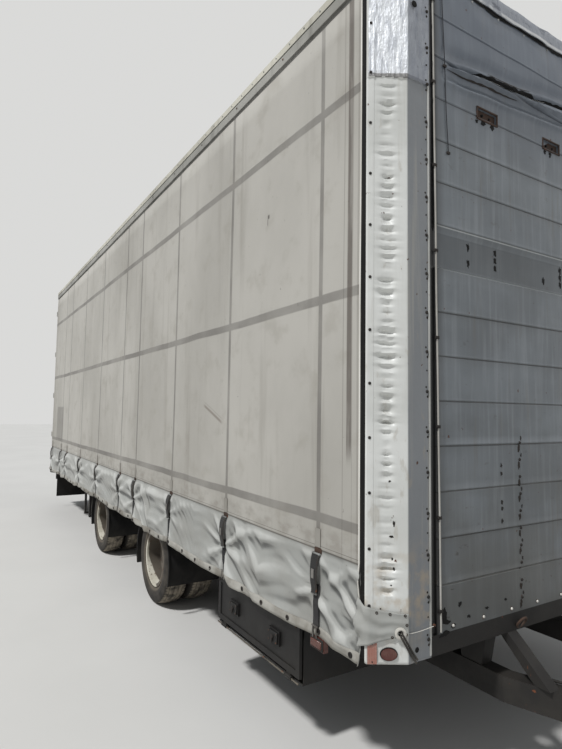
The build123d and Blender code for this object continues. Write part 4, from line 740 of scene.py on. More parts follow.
def curtain(side_name):
    """The cloth of one side, from the roof rail to the hem."""
    side = sides[side_name]
    rows = stretches(curtain_base, (curtain_seam + 0.03, 0.0115), (curtain_top, 0.125))
    name = f"curtain_{side_name}"
    piece = surface(
        f"{name}_cloth",
        curtain_columns,
        rows,
        lambda x, z: cloth_point(x, z, side),
        curtain_cloth,
        cloth_thickness,
        [name],
    )
    mark_fold_shading(piece, len(curtain_columns), side)
    return piece


def hem(side_name):
    """The doubled strip along the lower edge."""
    side = sides[side_name]
    rows = [curtain_base + share * hem_width for share in (0.0, 0.33, 0.66, 1.0)]
    return surface(
        f"curtain_{side_name}_hem",
        curtain_columns,
        rows,
        lambda x, z: cloth_point(x, z, side, 0.0026),
        hem_cloth,
        cloth_thickness,
    )


def eyelets(side_name):
    """Rusty rings along the hem, the white tape down the curtain's front edge, and a black strip in front of
    the tape, painted shadow of the gap to the post.
    """
    side = sides[side_name]
    shape = Shape()
    ring = ((0.007, 0.0), (0.007, 0.0035), (0.010, 0.005), (0.0135, 0.0035), (0.0135, 0.0))
    count = int((curtain_front - curtain_rear - 0.1) / eyelet_pitch)
    for index in range(count + 1):
        x = curtain_front - 0.06 - index * eyelet_pitch
        place = axis_place(cloth_point(x, curtain_base + 0.022, side, 0.003), (0, side, 0))
        shape.lathe(ring, dark_bolt, place, 14)
        # A black disc in each ring's hole: painted shade
        shape.lathe(((0, 0), (0.007, 0), (0.007, 0.0015), (0, 0.0015)), black_rubber, place, 14)
    # The black strip at the front edge is painted shadow of the gap to the post; the white tape lies behind
    # it
    for start, width, look in ((0.0, gap_shadow_width, black_rubber), (gap_shadow_width, edge_tape, rod_white)):
        edge_x = curtain_front - start - width / 2
        strip = [cloth_point(edge_x, z, side, 0.0022) for z in spread(flap_top, curtain_top - 0.01, 0.08)]
        shape.ribbon(strip, (width / 2, 0, 0), 0.0022, look)
    return shape.build(f"curtain_{side_name}_eyelets")


# Straps: a lever buckle under the seam, then webbing down to a hook that grips the hem

buckle_top = 1.022
buckle_foot = 0.84
buckle_width = 0.052
web_width = 0.044


def straps(side_name):
    side = sides[side_name]
    shape = Shape()
    out = Vector((0, side, 0))
    for index, place in enumerate(strap_places):
        x = behind(place)
        if x + buckle_width > curtain_front or x - buckle_width < curtain_rear - 0.02:
            continue
        lean = 0.012 * wave(index * 3.1 + side, 0.4, 0.9)
        heights = [buckle_foot + 0.03 - k * (buckle_foot - 0.012 - curtain_base) / 9 for k in range(10)]
        points = [cloth_point(x + lean * (buckle_foot - z) / 0.2, z, side, 0.006) for z in heights]
        shape.ribbon(points, (web_width / 2, 0, 0), 0.003, webbing)
        stitched = [
            cloth_point(x, z, side, 0.005) for z in spread(curtain_seam + 0.012, curtain_seam + 0.10, 0.02)
        ]
        shape.ribbon(stitched, (web_width / 2, 0, 0), 0.003, webbing_grey)
        head = cloth_point(x, buckle_top, side, 0.004)
        shape.box((-0.029, -0.005, -0.017), (0.029, 0.005, 0.021), rusty_metal, 0.004, head)
        shape.rod(
            head + out * 0.013 - Vector((0.031, 0, 0.006)),
            head + out * 0.013 + Vector((0.031, 0, -0.006)),
            0.006,
            bare_metal,
            10,
        )
        body_rows = spread(buckle_top - 0.002, buckle_foot - 0.012, 0.012)
        body = []
        for z in body_rows:
            share = (buckle_top - z) / (buckle_top - buckle_foot)
            belly = 0.013 + 0.012 * math.sin(math.pi * min(1.0, share * 1.05)) + 0.006 * share
            body.append(cloth_point(x + lean * share, z, side, belly))
        for start in range(len(body) - 1):
            share = start / (len(body) - 1)
            half = buckle_width / 2 * (1.0 - 0.36 * share)
            shape.ribbon(body[start:start + 2], (half, 0, 0), 0.010, buckle_black)
        for edge in (-1, 1):
            rail = [
                p + Vector((edge * buckle_width / 2 * (1 - 0.36 * k / (len(body) - 1)), 0, 0))
                for k, p in enumerate(body)
            ]
            shape.tube(rail, 0.0042, buckle_edge, 8)
        tip = body[-1]
        shape.pin(tip, "x", -0.021, 0.021, 0.0055, bare_metal, 10)
        slot_low = body[len(body) // 2] + out * 0.0065
        shape.block(slot_low, (0.011, 0.001, 0.022), grey_steel, 0.0008)
        foot = cloth_point(x + lean, curtain_base + 0.004, side, 0.006)
        hook = [
            foot + out * 0.004 + Vector((0, 0, 0.040)),
            foot + out * 0.007 + Vector((0, 0, 0.012)),
            foot + out * 0.004 + Vector((0, 0, -0.012)),
            foot - out * 0.012 + Vector((0, 0, -0.018)),
            foot - out * 0.020 + Vector((0, 0, 0.006)),
        ]
        for shift in (-0.015, 0.015):
            shape.tube([p + Vector((shift, 0, 0)) for p in hook], 0.0038, grey_steel, 8)
        shape.pin(hook[0], "x", -0.024, 0.024, 0.0045, grey_steel, 8)
    return shape.build(f"curtain_{side_name}_straps")


# Front posts: folded sheet, dented along the chamfer, with foil taped over its top

chamfer_depth = 0.094
chamfer_width = 0.153
post_width = post_high.y - post_low.y
post_bottom, post_top = post_low.z, post_high.z
chamfer_length = math.hypot(chamfer_depth, chamfer_width)
strip_length = post_width - chamfer_width
foil_bottom = 3.235
dents_low, dents_high = 0.95, 3.2
dent_pitch = 0.048
dent_depth = 0.0092
dent_middle = 0.087
dent_reach = 0.027
seam_width = 0.028
post_seeds = {-1: 2.0, 1: 27.0}


def post_spot(t, z, side, out=0.0):
    """A place on the post: t runs from the chamfer's rear edge round to the front strip's inner edge."""
    if t <= chamfer_length:
        share = t / chamfer_length
        back = chamfer_depth * (1 - share) - out * chamfer_width / chamfer_length
        inner = chamfer_width * share - out * chamfer_depth / chamfer_length
    else:
        back = -out
        inner = chamfer_width + t - chamfer_length
    return Vector((behind(back), side * (half_width - inner), z))


def post_facing(t, side):
    """The way the post faces at t."""
    if t <= chamfer_length:
        return Vector((chamfer_width, side * chamfer_depth, 0)).normalized()
    return Vector((1, 0, 0))


def foil_edge(t, side):
    return foil_bottom + 0.012 * wave(t * 9.0, side * 4.0, 1.0)


def post_dents(t, z, side):
    """How far the sheet stands out from its flat faces."""
    seed = post_seeds[side]
    edge = min(1.0, t / 0.02, (chamfer_length + strip_length - t) / 0.01, abs(t - chamfer_length) / 0.018)
    out = 0.0012 * wave(t * 8.0 + seed, z * 1.3, 2.0) + 0.0008 * wave(t * 24.0 + seed, z * 6.0, 6.0)
    if t < seam_width:
        out += 0.0016
    if dents_low - 0.03 < z < dents_high and t < chamfer_length:
        strength = 1.0 if side < 0 else 0.45
        turn = 2 * math.pi * (z - dents_low) / dent_pitch + 2.4 * wave(z * 7.0, seed, 0.8) + 9.0 * t
        local = (z - dents_low) * 9.0
        middle = dent_middle + 0.014 * wave(local * 0.5, seed, 3.3)
        reach = dent_reach * (1.0 + 0.7 * wave(local, seed, 1.3))
        share = 1.0 / (1.0 + ((t - middle) / reach) ** 4)
        depth = dent_depth * strength * max(0.25, 0.8 + 1.3 * wave(local * 1.3, seed, 4.4))
        out -= depth * share * (1.0 + 0.8 * crest(turn))
        out += 0.3 * depth * share * crest(turn * 2.3 + 2.0 * wave(t * 30.0, z * 12.0, seed))
    out *= edge
    if z > foil_edge(t, side):
        folds = abs(wave(t * 15.0 + seed, z * 9.0, 4.0)) + 0.5 * abs(wave(t * 44.0 + seed, z * 16.0, 8.0))
        upright = crest(t * 210.0 + 3.5 * wave(z * 5.0, t * 9.0, seed))
        out += 0.004 + 0.005 * folds + 0.0012 * upright
    return out


def shaded_front_strip(look):
    """The part of the post's face in front of its chamfer, which faces forward and gets painted shade."""
    edge = half_width - chamfer_width
    return look.step(look.size(look.y), edge + 0.003, edge - 0.003)


def post_look():
    look = Look("post_paint", 0.4, specular=0.45)
    look.cloud((224, 225, 222), (205, 206, 202), 0.35, 0.68, 2.2, 5)
    strip = shaded_front_strip(look)
    # Painted shade: the forward-facing strip darker and bluer than the chamfer
    look.tint(strip, 0.86, (108, 112, 118))
    run = look.patches(0.52, 0.74, 8.0, 6, (3.0, 3.0, 0.12), shift=3.0)
    look.tint(run, 0.4, (176, 172, 162))
    scrape = look.patches(0.6, 0.7, 16.0, 6, (1.4, 1.4, 0.5), shift=8.0)
    look.tint(scrape, 0.35, (160, 150, 134))
    warm = look.times(look.near(look.z, 0.92, 0.16, 0.12), look.patches(0.42, 0.66, 14.0, 5, shift=5.0))
    look.tint(warm, 0.55, (176, 158, 132))
    spots = look.patches(0.69, 0.73, 34.0, 6, shift=11.0)
    look.tint(spots, 1, rust_dark)
    return look.done(
        look.vary(0.26, 0.3, 11.0, 5),
        look.plus(look.noise(60.0, 5), look.times(look.noise(9.0, 4), 2.0)),
        0.3,
        0.002,
    )


def foil_look():
    look = Look("foil", 0.35, 0.3)
    look.cloud((234, 237, 241), (206, 210, 217), 0.4, 0.66, 26.0, 6, (1.6, 1.6, 0.4))
    line = look.patches(0.6, 0.68, 42.0, 6, (1.5, 1.5, 0.16), shift=2.0)
    look.tint(line, 0.5, (112, 114, 120))
    tape = look.times(
        look.near(look.z, foil_bottom, 0.017, 0.004), look.step(look.x, behind(0.2), behind(0.19))
    )
    look.tint(tape, 0.75, (86, 80, 72))
    strip = shaded_front_strip(look)
    # Painted shade on the foil over the forward-facing strip
    look.tint(strip, 0.75, (112, 117, 128))
    rim = look.times(
        look.step(look.z, cap_z - 0.01, cap_z + 0.01), look.step(look.x, front_x - 0.09, front_x - 0.07)
    )
    torn = look.times(rim, look.patches(0.52, 0.62, 11.0, 6, (1, 1, 2.2), shift=33.0, rough=0.7))
    look.tint(torn, 0.7, (84, 88, 98))
    # A pale band along the cap's lower rim: painted highlight
    lip = look.times(rim, look.near(look.z, cap_z + 0.010, 0.009, 0.004))
    lip = look.times(lip, look.patches(0.36, 0.52, 7.0, 5, (1, 1, 1), shift=37.0))
    look.tint(lip, 0.6, (236, 236, 234))
    rough = look.vary(0.28, 0.35, 26.0, 4)
    crease = look.times(look.noise(60.0, 6, (1.4, 1.4, 0.3), shift=6.0), 2.0)
    return look.done(rough, look.plus(look.noise(80.0, 6), crease), 0.8, 0.004)


post_paint = post_look()
foil = foil_look()
post_back = ((0.060, 0.290), (0.130, 0.120), (0.130, 0.040), (0.106, 0.040), (0.106, 0.0))


def front_post(side_name):
    side = sides[side_name]
    fronts = spread(0.0, chamfer_length, 0.0078)
    fronts = sorted(
        [t for t in fronts if abs(t - seam_width) > 0.003] + [seam_width - 0.001, seam_width + 0.001]
    )
    fronts += spread(chamfer_length, chamfer_length + strip_length, 0.0125)[1:]
    rows = stretches(
        post_bottom,
        (dents_low - 0.03, 0.011),
        (foil_bottom - 0.02, 0.006),
        (foil_bottom + 0.04, 0.003),
        (post_top, 0.0085),
    )
    verts = []
    for z in rows:
        verts += [post_spot(t, z, side, post_dents(t, z, side)) for t in fronts]
        verts += [Vector((behind(back), side * (half_width - inner), z)) for back, inner in post_back]
    width = len(fronts) + len(post_back)
    top = range((len(rows) - 1) * width, len(rows) * width)
    marks = []
    for low, high in zip(rows, rows[1:]):
        wrapped = [(low + high) / 2 > foil_edge(t, side) for t in fronts[:-1]]
        marks += [int(mark) for mark in wrapped] + [0] * (len(post_back) + 1)
    name = f"front_post_{side_name}"
    mesh = mesh_of(f"{name}_skin", verts, grid(len(rows), width) + [top], [post_paint, foil], marks + [0])
    return into_scene(f"{name}_skin", mesh, "root", [name], 0.003, -1.0)


# Where the paint is scraped off: place along the post's face, height, width and length
post_scars = (
    (0.100, 1.405, 0.010, 0.008),
    (0.118, 1.225, 0.008, 0.030),
    (0.108, 1.170, 0.016, 0.010),
    (0.114, 1.075, 0.014, 0.016),
    (0.120, 1.035, 0.010, 0.022),
    (0.106, 0.965, 0.007, 0.007),
    (0.060, 0.868, 0.006, 0.006),
)


def post_fittings(side_name):
    side = sides[side_name]
    shape = Shape()

    def stud(t, z, radius, height, look, off=0.0):
        spot = post_spot(t, z, side, post_dents(t, z, side) + off)
        shape.stud(axis_place(spot, post_facing(t, side)), radius, height, look)

    for z in spread(0.88, post_top - 0.1, 0.24):
        stud(0.011, z, 0.0070, 0.004, dark_bolt)
    strip_edge = chamfer_length + strip_length - 0.012
    for index, z in enumerate(spread(0.72, post_top - 0.05, 0.182)):
        shift = 0.004 * wave(index * 2.2, 1.0)
        stud(strip_edge - 0.006 + shift, z, 0.0080, 0.006, dark_bolt)
        stud(strip_edge - 0.012 + shift, z + 0.020, 0.0050, 0.0012, rust_patch)
        stud(strip_edge - 0.004 - shift, z - 0.023, 0.0060, 0.0012, rust_patch)
        if index % 2:
            stud(strip_edge - 0.008, z - 0.085, 0.0040, 0.003, dark_bolt)
    for index, (t, z, width, height) in enumerate(post_scars):
        spot = post_spot(t, z, side, post_dents(t, z, side) - 0.0008)
        shape.blotch(upright(spot, post_facing(t, side)), width, height, 0.0022, index, rust_patch)
    inner_edge = half_width - post_width
    trim = [
        Vector((front_x + 0.0025, side * (inner_edge + 0.006), z))
        for z in (post_bottom + 0.01, post_top - 0.06)
    ]
    shape.ribbon(trim, (0, 0.0045, 0), 0.003, trim_grey)
    # A near-black sheet deep in the channel behind the chamfer: painted shadow of the gap
    near_y, far_y = sorted((side * (half_width - 0.003), side * (half_width - 0.034)))
    shape.box(
        (behind(0.136), near_y, post_bottom + 0.01),
        (behind(0.1065), far_y, post_top - 0.09),
        channel_shadow_black,
        0.002,
    )
    stud(chamfer_length + 0.035, 3.60, 0.016, 0.001, shadow_black, 0.008)
    stud(chamfer_length + 0.05, 0.690, 0.012, 0.001, shadow_black)
    lamp_place = upright(post_spot(0.095, 0.683, side), post_facing(0.1, side))
    oval = [(0.034 * x, 0.024 * y) for x, y in circle(1.0, 24)]
    shape.prism([(1.12 * x, 1.16 * y) for x, y in oval], 0.004, black_rubber, lamp_place)
    shape.prism(oval, 0.009, red_lamp, lamp_place)
    reflector = [(-0.020, -0.045), (0.020, -0.045), (0.020, 0.045), (-0.020, 0.045)]
    place = upright(post_spot(0.024, 0.688, side, 0.0015), post_facing(0.02, side))
    shape.prism(reflector, 0.005, pale_reflector, place)
    for z in (0.652, 0.724):
        stud(0.024, z, 0.004, 0.0075, dark_bolt)
    return shape.build(f"front_post_{side_name}_fittings")


# The cloth flap that wraps from the skirt round the post, held by a ring and a rope

flap_ring_t = 0.143
flap_ring_z = 0.772


def flap(side_name):
    side = sides[side_name]
    seed = 5.0 * side

    def path(s, z):
        """From the skirt's front edge over the gap and along the chamfer; s runs from 0 to 1."""
        first = 0.058
        run = s * (first + chamfer_length)
        if run < first:
            back = chamfer_depth + first - run
            x = behind(back)
            skirt_out = side * cloth_point(min(x, curtain_front), z, side, 0.003).y
            share = max(0.0, (x - curtain_front) / (behind(chamfer_depth) - curtain_front))
            out = skirt_out + (half_width + 0.006 - skirt_out) * share
            return Vector((x, side * out, 0)), Vector((0, side, 0))
        t = run - first
        return post_spot(t, 0.0, side, 0.0065), post_facing(t, side)

    def point(s, v):
        low = 0.742 + 0.016 * s - 0.05 * (1 - s) ** 2
        high = 0.855 + 0.045 * (1 - s) ** 2 - 0.004 * s
        z = low + (high - low) * v
        spot, facing = path(s, z)
        pull = 0.006 * (1.0 + crest(14.0 * v + 5.0 * s + 2.0 * wave(s * 3.0, v * 2.0, seed))) * (1.1 - s)
        sag = 0.004 * abs(wave(s * 5.0, v * 4.0, seed + 3.0)) * (1.0 - 0.6 * s)
        return spot + facing * (pull + sag + 0.001) + Vector((0, 0, z))

    cloth = surface(
        f"corner_flap_{side_name}",
        spread(0.0, 1.0, 0.03),
        spread(0.0, 1.0, 0.06),
        point,
        flap_cloth,
        0.0024,
    )
    shape = Shape()
    facing = post_facing(flap_ring_t, side)
    center = post_spot(flap_ring_t, flap_ring_z, side, 0.010)
    place = upright(center, facing)
    grommet = [(0.012, 0.0), (0.012, 0.006), (0.017, 0.009), (0.025, 0.006), (0.025, 0.0)]
    shape.lathe(grommet, rod_white, place, 24)
    shape.lathe([(0, 0.0005), (0.011, 0.0005), (0.011, 0.002), (0, 0.002)], shadow_black, place, 20)
    for s, v in ((0.42, 0.90), (0.66, 0.93), (0.93, 0.93), (0.96, 0.52), (0.95, 0.12), (0.70, 0.06)):
        spot = axis_place(point(s, v) + facing * 0.0015, facing)
        shape.lathe([(0.0035, 0), (0.0035, 0.002), (0.006, 0.002), (0.006, 0)], rusty_metal, spot, 12)
    across = Vector((0, -side, 0))
    for shift in (-0.006, 0.006):
        rope = []
        for k in range(9):
            share = k / 8
            spot = center + facing * (0.012 + 0.010 * math.sin(math.pi * share))
            spot += across * (0.085 * share + shift * 0.5) + Vector((0, 0, -0.125 * share + shift))
            spot.x = max(spot.x, front_x + 0.007) if share > 0.4 else spot.x
            rope.append(spot)
        shape.tube(rope, 0.0046, rope_grey, 8)
    wire_end = Vector((front_x + 0.008, side * (half_width - post_width - 0.012), flap_ring_z + 0.002))
    wire = [center + facing * 0.010 + (wire_end - center - facing * 0.010) * k / 10 for k in range(11)]
    for k in range(11):
        wire[k].z -= 0.006 * math.sin(math.pi * k / 10)
        wire[k].x = max(wire[k].x, front_x + 0.006) if k > 2 else wire[k].x
    shape.tube(wire, 0.0016, rod_white, 6)
    shape.lathe(
        [(0, 0.010), (0.007, 0.009), (0.009, 0.0), (0, 0.0)],
        rusty_metal,
        axis_place(wire_end - Vector((0.008, 0, 0)), (1, 0, 0)),
        12,
    )
    ties = shape.build(f"corner_flap_{side_name}_ties")
    return cloth, ties


# Front wall: planks with pressed seams, a recessed plank, lamp recesses, a dented header

wall_bottom, wall_top = wall_low.z, wall_high.z
plank_pitch = 0.2065
seams = [wall_bottom + plank_pitch * k for k in range(1, 15)]
recess_low, recess_high = seams[7], seams[8]
recess_depth = 0.012
recess_slope = 0.035
pocket_z = wall_top - 0.604
pocket_half = (0.075, 0.026)
pocket_depth = 0.013
pocket_places = (-0.559, 0.0, 0.559)
groove_middle = half_width - post_width - 0.023
groove_half = 0.013
conduit_lean = 0.034


crumple_low = 3.22


def header_crease(y):
    """Height of the torn crease across the header."""
    return 3.427 + 0.100 * (y + 0.55) + 0.007 * math.sin(9.0 * y + 1.2) + 0.006 * wave(y * 9.0, 2.0)


def header_ridge(y):
    """Height of the fold under the crease."""
    return 3.385 + 0.062 * (y + 0.85) + 0.012 * wave(y * 4.0, 7.0)


def crumple(y, z):
    """The header, struck from the front: a torn crease with folds over and under it."""
    start = clamp((y + 0.93) / 0.16)
    end = clamp((0.75 - y) / 0.5)
    ridge = header_ridge(y)
    out = -0.024 * hill(z, header_crease(y), 0.012) + 0.020 * hill(z, ridge, 0.012)
    out += 0.012 * hill(z, ridge - 0.085, 0.016) - 0.012 * hill(z, ridge - 0.042, 0.024)
    out -= 0.014 * hill(z, header_crease(y) + 0.055, 0.028)
    high = max(0.0, (z - 3.5) / 0.33)
    dent = -0.016 * high * max(0.0, 0.3 + 1.2 * wave(y * 1.9 + 4.0, z * 3.2, 6.0))
    return start * end * out + dent + 0.003 * wave(y * 6.0, z * 9.0, 2.0) * start


def wall_relief(y, z):
    """How far the wall stands out from its flat face."""
    plank = int((z - wall_bottom) / plank_pitch)
    out = 0.0015 * wave(y * 1.8, z * 2.5, 3.0) + 0.0012 * wave(y * 0.9, plank * 3.3, 8.0)
    for seam in seams:
        gap = abs(z - seam)
        if gap < 0.012:
            out -= 0.0045 * max(0.0, 1 - gap / 0.005)
            out += 0.0014 * hill(z, seam + 0.008, 0.004)
    if recess_low < z < recess_high:
        out -= recess_depth * min(1.0, (recess_high - z) / recess_slope)
    if z > crumple_low:
        out += crumple(y, z)
    if any(abs(y - place) < pocket_half[0] for place in pocket_places) and abs(z - pocket_z) < pocket_half[1]:
        out -= pocket_depth
    inner = abs(abs(y) - groove_middle)
    if inner < groove_half:
        return -0.012
    if abs(y) > groove_middle:
        return 0.002
    return out


def wall_look():
    look = Look("wall_paint", 0.38, 0.2, 0.45)
    # Painted shade: the base tones are darker than the wall's paint, as the wall faces forward away from the
    # light
    look.cloud((118, 124, 129), (98, 103, 107), 0.36, 0.68, 1.6, 5, (1, 1, 1.6))
    per_plank = look.patches(0.35, 0.65, 2.0, 2, (0.4, 0.4, 2.4), shift=14.0)
    look.tint(per_plank, 0.35, (106, 112, 118))
    brushed = look.patches(0.45, 0.72, 30.0, 5, (1.0, 1.0, 0.06), shift=3.0)
    look.tint(brushed, 0.2, (166, 170, 174))
    drip = look.patches(0.56, 0.74, 13.0, 6, (1.6, 1.6, 0.14), shift=6.0)
    look.tint(drip, 0.45, (100, 98, 93))
    lines = look.most(*[look.near(look.z, seam, 0.0022, 0.0015) for seam in seams])
    look.tint(lines, 0.85, (62, 60, 56))
    # A darker band under each seam: painted shade
    darkened = look.most(*[look.near(look.z, seam - 0.012, 0.004, 0.035) for seam in seams])
    look.tint(darkened, 0.3, (84, 84, 82))
    # Painted shade over the recessed plank
    recess_shade = look.near(
        look.z, (recess_low + recess_high - recess_slope) / 2, (plank_pitch - recess_slope) / 2, 0.004
    )
    look.tint(recess_shade, 0.55, (70, 74, 77))
    header = look.step(look.z, 2.9, 3.6)
    look.tint(header, 0.55, (92, 101, 116))
    # Pale lines along the recess's edges: painted highlights
    for height in (recess_high - 0.003, recess_low + 0.002):
        lip = look.near(look.z, height, 0.0035, 0.0015)
        look.tint(lip, 0.8, (186, 190, 190))
    brown = look.times(look.step(look.z, 1.7, 0.8), look.patches(0.2, 0.6, 2.6, 5, shift=19.0))
    look.tint(brown, 0.6, (90, 88, 81))
    # Painted shade towards the groove beside each post, darkest next to the groove
    across = look.size(look.y)
    look.tint(look.step(across, 0.87, 0.94), 0.45, (64, 64, 64))
    inner = look.step(across, groove_middle - groove_half - 0.030, groove_middle - groove_half - 0.002)
    look.tint(inner, 0.85, (38, 37, 36))
    scrape = look.patches(0.62, 0.68, 9.0, 7, (1, 1, 2.2), shift=17.0, rough=0.7)
    low = look.step(look.z, 1.5, 0.8)
    look.tint(look.times(scrape, look.plus(0.25, look.times(low, 0.6))), 1, (70, 64, 58))
    spots = look.patches(0.70, 0.74, 27.0, 6, shift=23.0)
    look.tint(spots, 1, rust_dark)
    return look.done(
        look.vary(0.28, 0.3, 12.0, 4, (1, 1, 0.3)),
        look.plus(look.noise(50.0, 5, (1, 1, 0.2)), look.times(look.noise(6.0, 4), 1.5)),
        0.22,
        0.0015,
    )


wall_paint = wall_look()


def front_wall():
    reach = half_width - post_width
    columns = spread(-reach, reach, 0.024)
    extra = [
        place + end * (pocket_half[0] + shift)
        for place in pocket_places for end in (-1, 1) for shift in (-0.0015, 0.0015)
    ]
    extra += [
        s * (groove_middle + end * groove_half + shift)
        for s in (-1, 1) for end in (-1, 1) for shift in (-0.001, 0.001)
    ]
    columns = sorted(set(columns + extra))
    rows = spread(wall_bottom, wall_top, 0.035)
    for seam in seams:
        rows += [seam + shift for shift in (-0.010, -0.005, -0.0015, 0.0015, 0.005, 0.008, 0.012)]
    rows += [pocket_z + end * (pocket_half[1] + shift) for end in (-1, 1) for shift in (-0.0015, 0.0015)]
    rows += spread(crumple_low, 3.52, 0.007) + spread(3.52, wall_top, 0.018)[1:]
    rows += [recess_high - recess_slope, recess_high - recess_slope / 2]
    rows = sorted({round(z, 5) for z in rows})
    back_x = wall_low.x
    verts = [Vector((front_x + wall_relief(y, z), y, z)) for z in rows for y in columns]
    width = len(columns)
    faces = grid(len(rows), width, ring=False)
    rim = list(range(width)) + [j * width + width - 1 for j in range(1, len(rows))]
    rim += [len(verts) - 2 - k for k in range(width - 1)] + [j * width for j in range(len(rows) - 2, 0, -1)]
    start = len(verts)
    verts += [Vector((back_x, verts[k].y, verts[k].z)) for k in rim]
    count = len(rim)
    faces += [(rim[(k + 1) % count], rim[k], start + k, start + (k + 1) % count) for k in range(count)]
    faces.append(tuple(start + k for k in range(count)))
    mesh = mesh_of("front_wall_skin", verts, faces, [wall_paint], [0] * len(faces))
    return into_scene("front_wall_skin", mesh, "root", ["front_wall"])


bolt_column = -half_width + 0.94
hole_columns = (-half_width + 0.571, -half_width + 0.779, -half_width + 0.978, -half_width + 1.195)


# Black scrapes low on the wall, and stains under the lamp recesses
wall_scars = (
    (-0.905, 0.800, 0.036, 0.050),
    (-0.885, 0.772, 0.044, 0.026),
    (-0.900, 0.722, 0.050, 0.024),
    (-0.845, 0.745, 0.030, 0.020),
    (-0.800, 0.835, 0.020, 0.018),
    (-0.740, 0.770, 0.030, 0.014),
    (-0.610, 0.785, 0.024, 0.012),
    (-0.470, 0.800, 0.018, 0.012),
    (-0.640, 3.178, 0.020, 0.018),
    (-0.590, 3.180, 0.034, 0.022),
    (-0.520, 3.176, 0.026, 0.030),
    (-0.060, 3.180, 0.030, 0.026),
    (-0.010, 3.176, 0.022, 0.030),
)


